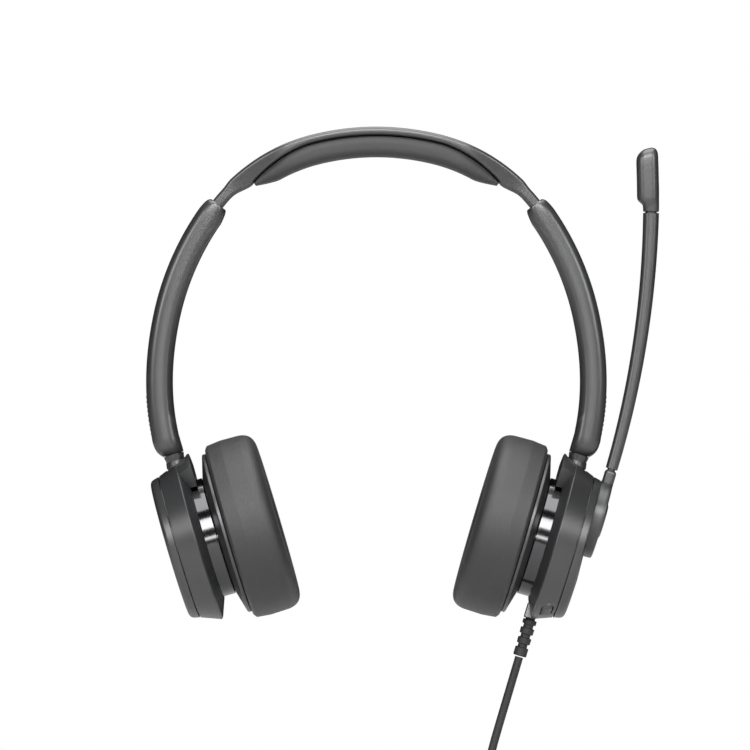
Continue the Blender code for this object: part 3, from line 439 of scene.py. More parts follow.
def knitCloth(name, colour, pitch=0.45):
    # open knitted scrim: crossed ribs with small round holes
    finish = Finish(name, Sheen_Weight=0.25, Sheen_Roughness=0.6)
    # a wave of scale 0.314 has a band in each unit
    sockets = {"Vector": finish.place, "Scale": 0.314 / (pitch * mm), "Distortion": 0.4}
    ribs = []
    for direction in ("Y", "Z"):
        settings = {"wave_type": "BANDS", "bands_direction": direction}
        ribs.append(finish.node("ShaderNodeTexWave", settings, sockets, "Fac"))
    weave = ribs[0] * ribs[1]
    finish.set("Base_Color", finish.mix(weave, scaled(colour, 0.45), colour))
    finish.set("Roughness", 0.95 - weave * 0.1)
    finish.set("Normal", finish.bump(weave, 0.8, 0.08 * mm))
    return finish.material


graphite = grainedPlastic("graphiteShell", (0.024, 0.0245, 0.0255), 0.34)
darkGraphite = grainedPlastic("darkGraphite", (0.018, 0.0185, 0.019), 0.36)
micPlastic = grainedPlastic("microphoneBlack", (0.026, 0.0265, 0.028), 0.36, 4800, 0.015)
blackPlastic = grainedPlastic("blackMoulding", (0.014, 0.014, 0.015), 0.5)
padLeather = leatherette("padLeatherette", (0.013, 0.013, 0.0135), 0.5)
cushionLeather = leatherette("cushionLeatherette", (0.015, 0.015, 0.0155), 0.42)
smokedChrome = polishedMetal("smokedChrome", (0.095, 0.095, 0.098), 0.1)
springSteel = polishedMetal("springSteel", (0.58, 0.58, 0.59), 0.28, 0.12)
turnedBrass = polishedMetal("turnedBrass", (0.72, 0.53, 0.26), 0.3, 0.1)
nickel = polishedMetal("nickelPlate", (0.72, 0.72, 0.73), 0.2, 0.05)
cordRubber = softRubber("cordJacket", (0.016, 0.016, 0.017), 0.55)
scrim = knitCloth("speakerScrim", (0.02, 0.02, 0.021))
markPaint = grainedPlastic("markPaint", (0.18, 0.18, 0.185), 0.4)
boardMask = grainedPlastic("boardMask", (0.02, 0.11, 0.05), 0.35)
filmPlastic = grainedPlastic("clearFilm", (0.22, 0.22, 0.19), 0.3)
print("finishes made")


# ---- where things are, from the frame ----

leftUp = -Vector(joints["left_cup_swivel"]["axis"])
leftInward = Vector((0, 1, 0)).cross(leftUp)
leftCentre = Vector(joints["left_cup_swivel"]["pos_m"])
leftTrack = Vector(joints["left_arm_slide"]["pos_m"])
pinHeight = (Vector(joints["left_cup_tilt"]["pos_m"]) - leftCentre).dot(leftUp)
rightUp = Vector((-leftUp.x, 0, leftUp.z))
boomPivot = Vector(joints["boom_swing"]["pos_m"])
boomHeight = (boomPivot - Vector(joints["right_cup_swivel"]["pos_m"])).dot(rightUp)

# the left cup's own frame: x inward along the ear axis, z up along the swivel axis
cupPlace = Matrix((leftInward, Vector((0, 1, 0)), leftUp)).transposed().to_4x4()
cupPlace.translation = leftCentre


def onCup(piece):
    return applyPlace(piece, cupPlace)


def aboutBoom(piece):
    return applyPlace(piece, Matrix.Translation((0, 0, boomHeight)))


# ---- cord ----

cordValues = {
    "diameter": 3.0 * mm,
    "length": 1.7,
    "route": [  # x and z in metres, in the plane y = 0, from the strain relief down to the coil
        (0.05098, -0.17875), (0.04997, -0.1822), (0.04853, -0.187), (0.0468, -0.19285), (0.04505, -0.19875),
        (0.04335, -0.2045), (0.04175, -0.2101), (0.04045, -0.2153), (0.0395, -0.2199), (0.0389, -0.2239),
        (0.03855, -0.2265),
    ],
    "tail": [(0.01875, -0.2682), (0.01875, -0.2715), (0.01875, -0.275), (0.01875, -0.279), (0.01875, -0.283),
             (0.01875, -0.2872)],
    "coilMiddle": 17.25 * mm,
    "layers": 4,
    "pointsPerTurn": 24, "pointsAtEnd": 6,
    "startAngle": 20, "endAngle": 70,
    "pitch": 0.985,     # the turns' distance apart, in diameters
    "crossFrom": 0.72,  # the share of a turn after which it moves over to the next lane
}


def coilPath(values):
    # the turns lie in layers of four, side by side: the cord goes in at the top of the outer layer,
    # works inwards, and comes back out on the outer layer
    low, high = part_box("cord_coil")
    centreX, centreZ = (low[0] + high[0]) / 2, (low[2] + high[2]) / 2
    pitch, layers = values["diameter"] * values["pitch"], values["layers"]
    lanes = []
    for layer in range(layers):
        row = [(layer, lane) for lane in range(layers)]
        lanes += row if layer % 2 == 0 else row[::-1]
    lanes = lanes[::-1]
    places = [(values["coilMiddle"] + (layer - (layers - 1) / 2) * pitch, (lane - (layers - 1) / 2) * pitch)
              for layer, lane in lanes[1:] + lanes[:1]]
    path = []
    for turn, (radius, across) in enumerate(places):
        last = turn == len(places) - 1
        sweepAngle, steps = 2 * pi, values["pointsPerTurn"]
        nextRadius, nextAcross = radius, across
        if last:
            sweepAngle, steps = radians(values["endAngle"]), values["pointsAtEnd"]
        else:
            nextRadius, nextAcross = places[turn + 1]
        for step in range(steps):
            angle = radians(values["startAngle"]) + sweepAngle * step / steps
            blend = smoothStep(step / steps, values["crossFrom"], 1.0)
            reach = radius + (nextRadius - radius) * blend
            place = across + (nextAcross - across) * blend
            path.append(Vector((centreX - reach * sin(angle), place, centreZ + reach * cos(angle))))
    return path


def makeCord(values):
    lead, tail = ([Vector((x, 0, z)) for x, z in values[part]] for part in ("route", "tail"))
    points = lead + coilPath(values) + tail
    curve = bpy.data.curves.new("headsetCord", "CURVE")
    curve.dimensions = "3D"
    curve.bevel_depth = values["diameter"] / 2
    curve.bevel_resolution = 5
    curve.resolution_u = 3
    curve.use_fill_caps = True
    spline = curve.splines.new("NURBS")
    spline.points.add(len(points) - 1)
    for knot, point in zip(spline.points, points):
        knot.co = (*point, 1)
    spline.order_u = 4
    spline.use_endpoint_u = True
    cord = bpy.data.objects.new("headset_cord", curve)
    bpy.context.scene.collection.objects.link(cord)
    curve.materials.append(cordRubber)
    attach(cord, "right_cup")
    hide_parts("cord", "cord_coil", "cord_tail")
    return cord


makeCamera(photoView)
cord = makeCord(cordValues)
print("camera and cord made")


# ---- headband ----

bandValues = {
    "crownRadius": 94.5 * mm, "crownEnd": 14.4,
    "flankRadius": 65.9 * mm, "flankEnd": 53.2,
    "trackRadius": 100.85 * mm,
    "width": 18.0 * mm, "tongueWidth": 9.3 * mm,
    "depth": 3.0 * mm, "lensDepth": 6.5 * mm,
    "padDepth": 7.4 * mm, "padEnd": 38.0,
    "step": 0.5 * mm, "tongueDepth": 4.2 * mm, "tongueStart": 47.0, "tongueEnd": 79.0,
    "topRound": 1.3 * mm, "taperStart": 22, "swellStart": 15, "notchStart": 54, "notchDepth": 0.35 * mm,
}


def bandCentres(values):
    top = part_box("headband_shell")[1][2]
    crown = Vector((0, top - values["crownRadius"]))
    away = Vector((sin(radians(values["crownEnd"])), cos(radians(values["crownEnd"]))))
    flank = crown + away * (values["crownRadius"] - values["flankRadius"])
    return crown, flank, Vector((-leftTrack.x, leftTrack.z))


arcCentres = bandCentres(bandValues)


def bandPoint(values, angle, depth):
    size = abs(angle)
    crown, flank, track = arcCentres
    centre, radius = track, values["trackRadius"]
    if size < values["crownEnd"]:
        centre, radius = crown, values["crownRadius"]
    elif size < values["flankEnd"]:
        centre, radius = flank, values["flankRadius"]
    place = centre + Vector((sin(radians(size)), cos(radians(size)))) * (radius - depth)
    return (place.x if angle > 0 else -place.x), place.y


def bandLoop(values, angle, top, bottom, width, round, steps=5):
    loop = []
    for across, depth in roundRectangle(width, top, bottom, round, steps):
        x, z = bandPoint(values, angle, depth)
        loop.append(Vector((x, across, z)))
    return loop


def bandWidth(values, angle):
    ease = smoothStep(abs(angle), values["taperStart"], values["tongueStart"] - 1)
    return values["width"] - (values["width"] - values["tongueWidth"]) * ease


def shellBottom(values, angle):
    # it deepens towards the pad's ends, then thins into the tongue
    size, start, end = abs(angle), values["swellStart"], values["padEnd"] + 1
    deeper = values["lensDepth"] - values["depth"]
    before = values["depth"] + min(deeper * (max(size - start, 0) / (end - start)) ** 1.5, deeper)
    after = values["step"] + values["tongueDepth"]
    return before + (after - before) * smoothStep(size, end, values["tongueStart"])


def makeBand(values):
    loops = []
    for number, angle in enumerate(between(-values["tongueEnd"], values["tongueEnd"], 158)):
        size = abs(angle)
        top = values["step"] * smoothStep(size, values["tongueStart"] - 4, values["tongueStart"])
        notched = size > values["notchStart"] and number % 4 in (1, 2)
        bottom = shellBottom(values, angle) - (values["notchDepth"] if notched else 0.0)
        loops.append(bandLoop(values, angle, top, bottom, bandWidth(values, angle), values["topRound"]))
    shell = sweep("headband_shell_fine", loops)
    settle(shell, graphite, "headband", "headband_shell", 40)


makeBand(bandValues)
print("headband made")


# ---- pads ----

padValues = {
    "overhang": 1.0 * mm, "round": 2.6 * mm, "thinFrom": 29.5, "thinBy": 3.0 * mm, "leastDepth": 0.8 * mm,
}


def makeHeadPad(values, band):
    loops = []
    thinSpan = band["padEnd"] - values["thinFrom"]
    for angle in between(-band["padEnd"], band["padEnd"], 90):
        top = shellBottom(band, angle) + gap
        thin = values["thinBy"] * (max(abs(angle) - values["thinFrom"], 0) / thinSpan) ** 1.5
        bottom = max(band["depth"] + band["padDepth"] - thin, top + values["leastDepth"])
        round = min(values["round"], 0.46 * (bottom - top))
        width = bandWidth(band, angle) + 2 * values["overhang"]
        loops.append(bandLoop(band, angle, top, bottom, width, round, 6))
    pad = sweep("headband_pad_soft", loops)
    settle(pad, padLeather, "headband", "headband_pad", 50)


makeHeadPad(padValues, bandValues)


# ---- arms ----

armValues = {
    "outer": 102.6 * mm, "inner": 93.2 * mm, "width": 12.5 * mm, "round": 2.7 * mm, "drift": 0.9 * mm,
    "mouth": 52.1, "end": 101.0, "coverDepth": 1.95 * mm, "coverStart": 57.0, "coverEnd": 100.0,
    "footRise": 32.6 * mm, "collar": 3.75 * mm, "groove": -0.01 * mm,
    "driftStart": 78, "driftEnd": 104, "crown": 0.13, "edgeBevel": 0.16 * mm,
    "ribs": 9, "ribStart": 94.8, "ribPitch": 0.92,
}
# how far the section is drawn in at the mouth: degrees from it, then outer, inner and width in mm
mouthRows = (
    (0.0, 1.5, 1.6, 1.1), (0.15, 1.2, 1.3, 0.8), (0.45, 0.75, 1.05, 0.62),
    (0.9, 0.42, 0.75, 0.42), (1.6, 0.2, 0.45, 0.2), (2.3, 0.08, 0.2, 0.08),
)
# the foot: its height, then the outer side's reach past the collar, the inner side's shortfall
# and the width's loss
footRows = (
    (6.3, 2.12, 0.05, 0.0), (5.2, 2.12, 0.04, 0.1), (4.2, 2.08, 0.04, 0.3),
    (3.4, 1.98, 0.03, 0.6), (2.7, 1.82, 0.03, 0.95), (2.1, 1.6, 0.02, 1.4),
    (1.5, 1.3, 0.02, 1.95), (1.0, 1.0, 0.02, 2.5), (0.6, 0.7, 0.02, 3.1),
    (0.25, 0.4, 0.02, 3.8), (0.0, 0.15, 0.02, 4.4), (-0.15, 0.0, 0.03, 4.95),
)


def polar(radius, angle):
    turn = radians(angle)
    return Vector((leftTrack.x - radius * sin(turn), 0, leftTrack.z + radius * cos(turn)))


def armDrift(values, angle):
    return values["drift"] * smoothStep(angle, values["driftStart"], values["driftEnd"])


def armBody(values, name):
    rows = []
    for turn, outer, inner, slim in mouthRows:
        angle = values["mouth"] + turn
        rows.append((polar(values["outer"] - outer * mm, angle), polar(values["inner"] + inner * mm, angle),
                     values["width"] - slim * mm))
    for angle in between(values["mouth"] + 3, values["end"], 56):
        drift = armDrift(values, angle)
        rows.append((polar(values["outer"] + drift, angle), polar(values["inner"] + drift, angle),
                     values["width"]))
    for rise, outer, inner, slim in footRows:
        place = leftCentre + leftUp * (values["footRise"] + rise * mm)
        rows.append((place - leftInward * (values["collar"] + outer * mm),
                     place + leftInward * (values["collar"] - inner * mm), values["width"] - slim * mm))
    loops = []
    for outer, inner, width in rows:
        span = inner - outer
        loop = []
        for across, along in pillow(width, 0, span.length, values["round"], values["crown"]):
            loop.append(outer + span * (along / span.length) + Vector((0, across, 0)))
        loops.append(loop)
    return sweep(name, loops)


def trackBlock(values, name, angles, radii, halfWidth, steps=60, roundEnds=False):
    # a block that follows the arm's arc, with ends that round off where an inlay needs them
    (lowAngle, highAngle), (lowRadius, highRadius) = angles, radii
    loops = []
    for angle in between(lowAngle, highAngle, steps):
        top = highRadius
        if roundEnds:
            edge = max(min(angle - lowAngle, highAngle - angle), 0)
            top -= (1 - sqrt(min(edge / 1.6, 1.0))) * (values["coverDepth"] - 0.4 * mm)
        low, high = lowRadius + armDrift(values, angle), top + armDrift(values, angle)
        loops.append([polar(radius, angle) + Vector((0, across, 0)) for radius, across in
                      ((low, -halfWidth), (low, halfWidth), (high, halfWidth), (high, -halfWidth))])
    return sweep(name, loops)


def swivelRod(name, radius, low, high):
    return onCup(cylinder(name, radius, low, high, 48, alongZ))


def makeRibs(values):
    ribs = []
    for number in range(values["ribs"]):
        angle = values["ribStart"] + number * values["ribPitch"]
        radius = values["outer"] + armDrift(values, angle)
        rib = box("rib", (-0.55 * mm, -3.1 * mm, -0.4 * mm), (0.14 * mm, 3.1 * mm, 0.4 * mm), 0.12 * mm, 3)
        turn = Matrix.Rotation(radians(angle - 90), 4, "Y").inverted()
        place = Matrix.Translation(polar(radius, angle)) @ turn @ Matrix.Rotation(pi, 4, "Z")
        ribs.append(applyPlace(rib, place))
    return ribs


def makeArm(values, band):
    tongueTop = band["trackRadius"] - band["step"]
    cavityLow, cavityHigh = tongueTop - band["tongueDepth"] - gap, tongueTop + gap
    halfCavity = band["tongueWidth"] / 2 + gap
    inside, coverTop = values["inner"] - 3 * mm, values["inner"] + values["coverDepth"]
    coverStart, coverEnd, foot = values["coverStart"], values["coverEnd"], values["footRise"]
    slack = degrees(values["groove"] / values["inner"])
    shell = armBody(values, "left_arm_shell_fine")
    tools = (
        trackBlock(values, "seat", (coverStart - slack, coverEnd + slack),
                   (inside, coverTop + values["groove"]), values["width"], 90, True),
        trackBlock(values, "passage", (values["mouth"] - 3, 99.0), (cavityLow, cavityHigh), halfCavity),
        trackBlock(values, "window", (coverStart + 1.5, 98.0), (coverTop - 0.5 * mm, cavityLow + 0.5 * mm),
                   halfCavity - 0.2 * mm),
        swivelRod("bearing", 2.5 * mm, foot - 3 * mm, foot + 14 * mm),
        swivelRod("counterbore", 3.25 * mm, foot - 3 * mm, foot + 1.6 * mm),
        swivelRod("clipRoom", halfCavity - 0.4 * mm, foot + 11 * mm, foot + 14 * mm),
    )
    for tool in tools:
        boolean(shell, tool)
    joinPieces(shell, makeRibs(values))
    cover = armBody(values, "left_arm_cover_fine")
    inlay = trackBlock(values, "inlay", (coverStart, coverEnd), (inside, coverTop), values["width"], 90, True)
    boolean(cover, inlay, "INTERSECT")
    for piece, node in ((shell, "arm_shell"), (cover, "arm_cover")):
        applyModifier(piece, "BEVEL", width=values["edgeBevel"], segments=2, limit_method="ANGLE",
                      angle_limit=radians(50))
        bothSides(piece, graphite, node, 35, "arm")


makeArm(armValues, bandValues)
print("arms made")


# ---- cups ----

cupValues = {
    "ringDepth": 7.2 * mm, "seamRadius": 26.25 * mm, "lipRadius": 29.0 * mm, "flareDepth": 2.9 * mm,
    "ringWall": 1.5 * mm, "capDepth": 3.7 * mm, "capRound": 2.9, "boomCapDepth": 4.0 * mm,
    "hoodReach": 5.2 * mm, "hoodHeight": 9.0 * mm, "hoodHalfAngle": 31.0,
    "drumRadius": 21.4 * mm, "drumShown": 4.6 * mm,
    "plateDepth": 3.4 * mm, "plateRadius": 29.3 * mm,
    "cushionRadius": 32.5 * mm, "cushionDepth": 18.2 * mm, "wellRadius": 13.0 * mm,
    "hubRadius": 14.0 * mm, "hubThickness": 4.1 * mm, "swingFloor": 2.6 * mm, "swingHalfAngle": 136,
    "ridgeInner": 12.0 * mm, "ridgeOuter": 13.0 * mm, "ridgeHeight": 0.8 * mm,
    "spindleRadius": 7.6 * mm, "buttonRadius": 6.45 * mm, "pinRadius": 1.3 * mm,
    "volumeAngle": 28.0, "volumeSetback": 4.2 * mm, "markAngle": 38,
}
flareSlope = (cupValues["lipRadius"] - cupValues["seamRadius"]) / cupValues["ringDepth"]
seam = -cupValues["ringDepth"]
plateBack = cupValues["flareDepth"] + cupValues["drumShown"]
plateFront = plateBack + cupValues["plateDepth"]
cushionBack = plateFront + gap
cushionFace = cushionBack + cupValues["cushionDepth"]
hubFloor = seam - gap - cupValues["swingFloor"]
hubBack = hubFloor - gap
hubFace = hubBack - cupValues["hubThickness"]


def sector(name, profile, halfAngle, middle=0.0, steps=32):
    loops = []
    for step in range(steps + 1):
        angle = radians(middle + halfAngle * (2 * step / steps - 1))
        turned = (sin(angle), cos(angle))
        loops.append([Vector((place, -radius * turned[0], radius * turned[1])) for place, radius in profile])
    return sweep(name, loops)


def capOutline(values, face, floor, dish):
    # the outline from the middle of the face out over the rim, and in along the lip that enters the ring
    rim = values["seamRadius"]
    side = rim - 0.9 * mm * flareSlope
    register, hollow, lipEnd = rim - 1.6 * mm, rim - 2.4 * mm, seam + 0.9 * mm
    corners = [
        (face + dish, 0, 0), (face + dish * 0.9, side - 7.5 * mm, 3), (face, side - 5 * mm, 3),
        (face, side - 0.6 * mm, values["capRound"]), (seam - gap - 0.15 * mm, rim - 0.12 * mm, 0),
        (seam - gap, rim - 0.3 * mm, 0), (seam - gap, register, 0), (lipEnd, register, 0),
        (lipEnd, hollow, 0), (floor, hollow, 0), (floor, 0, 0)]
    return filleted(corners, 7)


def flarePlace(values, angle):
    # a place on the ring's flared side, turned from straight down about the ear axis
    setback = values["volumeSetback"]
    radius = values["lipRadius"] - setback * flareSlope
    place = Matrix.Rotation(radians(180 - angle), 4, "X") @ Matrix.Translation((-setback, 0, radius))
    return place @ Matrix.Rotation(-atan(flareSlope), 4, "Y")


def volumeBlock(values, name, angle, slack, proud, depth, round):
    along, across = 2.0 * mm + slack, 3.25 * mm + slack
    piece = box(name, (-along, -across, -depth), (along, across, proud), round)
    return applyPlace(piece, flarePlace(values, angle))


def makeRing(values, side):
    lip, throat = values["lipRadius"], values["drumRadius"] + gap
    seamRadius, flare = values["seamRadius"], values["flareDepth"]
    corners = [
        (seam, seamRadius, 0.25), (-0.1 * mm, lip, 0.28), (0.45 * mm, lip - 0.55 * mm, 0.2),
        (flare, throat + 0.3 * mm, 0.25), (flare - 0.4 * mm, throat, 0.2),
        (flare - values["ringWall"], throat, 0), (-1.3 * mm, lip - 2.0 * mm, 0),
        (seam, seamRadius - values["ringWall"], 0)]
    ring = lathe(side + "_housing_ring_fine", filleted(corners), 160)
    hoodTop = lip + values["hoodReach"] * 0.46
    hoodLow = hoodTop - values["hoodHeight"]
    bossLow = pinHeight - 2.1 * mm
    hood = [
        (-3.0 * mm, bossLow, 0), (-3.0 * mm, lip - 1.5 * mm, 0), (0, lip - 0.1 * mm, 0),
        (values["hoodReach"], hoodTop, 0.45), (values["hoodReach"], hoodLow, 0.3),
        (flare - 0.5 * mm, hoodLow, 0), (1.0 * mm, bossLow, 0)]
    boolean(ring, sector("hood", filleted(hood), values["hoodHalfAngle"]), "UNION")
    if side == "right":
        gland = [(-3.0 * mm, lip - 4.6 * mm), (-3.0 * mm, lip - 1.5 * mm), (0, lip - 0.05 * mm),
                 (2.4 * mm, lip - 0.05 * mm), (2.4 * mm, lip - 4.6 * mm)]
        boolean(ring, sector("gland", gland, 12, 180, 12), "UNION")
        boolean(ring, cylinder("glandBore", 2 * mm, -lip - 2 * mm, -lip + 6 * mm, 32, alongZ))
        for angle in (values["volumeAngle"], -values["volumeAngle"]):
            boolean(ring, volumeBlock(values, "buttonHole", angle, gap, 1.5 * mm, 4.2 * mm, 1.2 * mm))
    pocketLow, pocketHigh = (-4.2 * mm, -4.0 * mm, pinHeight - 3.0 * mm), (4.2 * mm, 4.0 * mm, lip + 9 * mm)
    boolean(ring, box("pocket", pocketLow, pocketHigh))
    pinBore = cylinder("pinBore", values["pinRadius"], -6.1 * mm, 6.1 * mm, 32, alongY)
    boolean(ring, applyPlace(pinBore, Matrix.Translation((0, 0, pinHeight))))
    onCup(ring)
    if side == "right":
        toRight(ring)
    settle(ring, graphite, side + "_cup", side + "_housing_ring", 30)


def makeCaps(values):
    face = seam - values["capDepth"]
    left = onCup(lathe("left_cap_fine", capOutline(values, face, face + 1.4 * mm, 0.25 * mm), 160))
    settle(left, graphite, "left_cup", "left_cap", 30)

    face = seam - values["boomCapDepth"]
    right = lathe("right_cap_fine", capOutline(values, face, seam - gap, 0.0), 160)
    recess = cylinder("recess", values["hubRadius"] + gap, hubFloor - 9 * mm, hubFloor, 128)
    boolean(right, aboutBoom(recess))
    high, near, far = hubFloor - 8 * mm, 2 * mm, 60 * mm
    wedge = [(high, near), (high, far), (hubFloor, far), (hubFloor, near)]
    boolean(right, aboutBoom(sector("swing", wedge, values["swingHalfAngle"], 0, 96)))
    bore = cylinder("bore", values["spindleRadius"] + gap, hubFloor - 3 * mm, seam + 3 * mm, 96)
    boolean(right, aboutBoom(bore))
    # a ridge that the hub's groove runs on
    inner, outer = values["ridgeInner"], values["ridgeOuter"]
    low, high = hubFloor + 0.2 * mm, hubFloor - values["ridgeHeight"]
    ridge = lathe("ridge", [(low, inner), (high, inner), (high, outer), (low, outer)], 96)
    boolean(right, aboutBoom(ridge), "UNION")
    toRight(onCup(right))
    settle(right, graphite, "right_cup", "right_cap", 30)


def makeDrum(values):
    front, radius = plateBack - gap, values["drumRadius"]
    inner = radius - 1.5 * mm
    corners = [
        (front, inner, 0), (front, radius, 0.2), (-gap, radius, 0), (-gap, radius + 1.5 * mm, 0),
        (-1.4 * mm, radius + 1.5 * mm, 0), (-1.4 * mm, inner, 0)]
    drum = onCup(lathe("left_drum_fine", filleted(corners), 192))
    bothSides(drum, smokedChrome, "drum")


def makePlate(values):
    radius, seat = values["plateRadius"], 13.6 * mm
    corners = [
        (plateBack, seat, 0), (plateBack, values["drumRadius"] - 0.1 * mm, 0.2),
        (plateFront - 1.4 * mm, radius - 0.5 * mm, 0.8), (plateFront - 1.1 * mm, radius, 0.25),
        (plateFront, radius, 0.25), (plateFront, 15.2 * mm, 0), (plateFront - 1.2 * mm, 15.2 * mm, 0),
        (plateFront - 1.2 * mm, seat, 0)]
    plate = lathe("left_speaker_plate_fine", filleted(corners), 160)
    for number in range(2):
        turn = Matrix.Rotation(radians(90 + 180 * number), 4, "X")
        for radius, low, high in ((1.1 * mm, plateBack - 2 * mm, plateFront + 2 * mm),
                                  (2.2 * mm, plateFront - 1.3 * mm, plateFront + 1 * mm)):
            hole = cylinder("hole", radius, low, high, 24)
            boolean(plate, applyPlace(hole, turn @ Matrix.Translation((0, 0, 18.2 * mm))))
    bothSides(onCup(plate), graphite, "speaker_plate")


def makeCushion(values):
    back, face, radius, well = cushionBack, cushionFace, values["cushionRadius"], values["wellRadius"]
    corners = [
        (back, radius - 1.9 * mm, 0.6), (back + 0.9 * mm, radius - 0.65 * mm, 0.9),
        (back + 6 * mm, radius - 0.12 * mm, 5), (face - 0.1 * mm, radius - 0.4 * mm, 9.5),
        (face - 0.1 * mm, well + 0.6 * mm, 3.2), (back + 2 * mm, well, 0.8), (back, well + 0.4 * mm, 0.3)]
    cushion = lathe("left_ear_cushion_soft", filleted(corners, 12), 160)
    onCup(cushion)
    for part in bothSides(cushion, cushionLeather, "ear_cushion", 60):
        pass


def makeKnuckle(values, foot):
    pin = pinHeight
    top = foot + 12.2 * mm
    corners = [
        (top + 1 * mm, 0, 0), (top + 1 * mm, 2.2 * mm, 0.2), (top, 2.2 * mm, 0), (top, 1.7 * mm, 0),
        (foot + 11.3 * mm, 1.7 * mm, 0), (foot + 11.3 * mm, 2.2 * mm, 0), (foot + 1.6 * mm, 2.2 * mm, 0),
        (foot + 1.4 * mm, 3.1 * mm, 0.1), (foot - gap, 3.1 * mm, 0), (foot - gap, 3.72 * mm, 0.05),
        (foot - 2.6 * mm, 3.3 * mm, 2.5), (pin + 3.4 * mm, 3.5 * mm, 1.5), (pin + 1.2 * mm, 3.8 * mm, 0.6),
        (pin, 2.4 * mm, 0.4), (pin, 0, 0)]
    knuckle = lathe("left_knuckle_fine", filleted(corners), 64, alongZ)
    half, radius = 3.2 * mm, 2.6 * mm
    corners = [(-half, 0, 0), (-half, radius, 0.2), (half, radius, 0.2), (half, 0, 0)]
    tang = lathe("tang", filleted(corners), 48, alongY)
    boolean(knuckle, applyPlace(tang, Matrix.Translation((0, 0, pin))), "UNION")
    bore = cylinder("bore", values["pinRadius"], -4.2 * mm, 4.2 * mm, 32, alongY)
    boolean(knuckle, applyPlace(bore, Matrix.Translation((0, 0, pin))))
    bothSides(onCup(knuckle), darkGraphite, "knuckle", bodyPart="neck")


makeRing(cupValues, "left")
makeRing(cupValues, "right")
makeCaps(cupValues)
makeDrum(cupValues)
makePlate(cupValues)
makeCushion(cupValues)
makeKnuckle(cupValues, armValues["footRise"])
print("cups made")


# ---- boom ----

boomValues = {
    "stemTop": 30.5 * mm, "arc": 345.0 * mm, "length": 93.0 * mm, "width": 7.0 * mm,
    "thickLow": 4.2 * mm, "thickHigh": 5.64 * mm, "narrowing": 0.06,
    "grooveInner": 11.7 * mm, "grooveOuter": 13.3 * mm, "grooveDepth": 0.9 * mm,
}
# height, lean inward, half thickness, half width (all mm) and slant of the head's cross-sections
headRows = (
    (0.35, 0.0, 2.5, 3.0, 0), (0.55, 0.0, 2.8, 3.25, 0), (1.6, 0.02, 2.82, 3.35, 0),
    (2.5, 0.08, 2.86, 3.5, 0), (3.0, 0.24, 3.02, 3.62, 0), (3.5, 0.52, 3.3, 3.78, 0),
    (4.0, 0.83, 3.58, 3.95, 0), (4.6, 1.06, 3.8, 4.1, 0), (5.4, 1.16, 3.88, 4.2, 0),
    (7.0, 1.2, 3.9, 4.25, 0), (9.0, 1.25, 3.9, 4.3, 0.02), (12.0, 1.38, 3.9, 4.3, 0.05),
    (15.0, 1.5, 3.9, 4.3, 0.1), (18.0, 1.62, 3.88, 4.26, 0.17), (20.2, 1.7, 3.84, 4.18, 0.22),
    (21.4, 1.72, 3.7, 4.0, 0.25), (22.2, 1.7, 3.4, 3.7, 0.27), (22.8, 1.66, 2.9, 3.2, 0.28),
    (23.15, 1.62, 2.2, 2.5, 0.28), (23.3, 1.6, 1.3, 1.6, 0.28),
)
boomMiddle = hubBack - cupValues["hubThickness"] / 2 - 0.1 * mm


def boomPlace(values, angle):
    rise, lean = values["arc"] * sin(angle), values["arc"] * (1 - cos(angle))
    return Vector((boomMiddle + lean, 0, values["stemTop"] + rise))


def boomLoop(values, angle, height, lean, half, wide, round=0.8, steps=6, slant=0.0):
    place = boomPlace(values, angle)
    along, inward = Vector((sin(angle), 0, cos(angle))), Vector((cos(angle), 0, -sin(angle)))
    loop = []
    for across, out in roundRectangle(2 * wide, lean - half, lean + half, min(half, wide) * round, steps):
        rise = height - slant * (out - lean + half)
        loop.append(place + along * rise + inward * out + Vector((0, across, 0)))
    return loop


def makeHub(values, cup):
    rimRoom, bore, radius = cup["spindleRadius"] + 1.3 * mm, cup["spindleRadius"] + gap, cup["hubRadius"]
    grooveInner, grooveOuter = values["grooveInner"], values["grooveOuter"]
    grooveEnd = hubBack - values["grooveDepth"]
    corners = [
        (hubFace + 0.2 * mm, rimRoom, 0.1), (hubFace, rimRoom + 1.2 * mm, 0.3),
        (hubFace, radius - 0.1 * mm, 0.9), (hubFace + 1.2 * mm, radius, 0.5), (hubBack, radius, 0.1),
        (hubBack, grooveOuter, 0), (grooveEnd, grooveOuter, 0), (grooveEnd, grooveInner, 0),
        (hubBack, grooveInner, 0), (hubBack, bore, 0), (hubFace + 1.4 * mm, bore, 0),
        (hubFace + 1.4 * mm, rimRoom, 0)]
    hub = aboutBoom(lathe("boom_hub_fine", filleted(corners), 128))
    half = values["thickLow"] / 2
    stem = box("stem", (boomMiddle - half, -values["width"] / 2, boomHeight + radius - 2.5 * mm),
               (boomMiddle + half - 0.1 * mm, values["width"] / 2, values["stemTop"] - gap), 1.3 * mm, 5)
    boolean(hub, stem, "UNION")
    toRight(onCup(hub))
    settle(hub, graphite, "boom", "boom_hub", 30)


def makeBoomArm(values):
    end, wide = values["length"] / values["arc"], values["width"] / 2
    half = values["thickLow"] / 2
    loops = [boomLoop(values, 0, height * mm, 0, half - shrink * mm, wide - shrink * mm)
             for height, shrink in ((-1.2, 0.75), (0.02, 0.75), (0.06, 0.25))]
    for share in between(0.003, 0.997, 60):
        thickness = values["thickLow"] + (values["thickHigh"] - values["thickLow"]) * share
        width = wide * (1 - values["narrowing"] * share)
        loops.append(boomLoop(values, share * end, 0, 0, thickness / 2, width))
    half, wide = values["thickHigh"] / 2, wide * (1 - values["narrowing"])
    loops += [boomLoop(values, end, height * mm, 0, half - shrink * mm, wide - shrink * mm)
              for height, shrink in ((-0.06, 0.25), (-0.02, 0.8), (1.4, 0.8))]
    arm = toRight(onCup(sweep("boom_arm_fine", loops)))
    settle(arm, graphite, "boom", "boom_arm", 30)


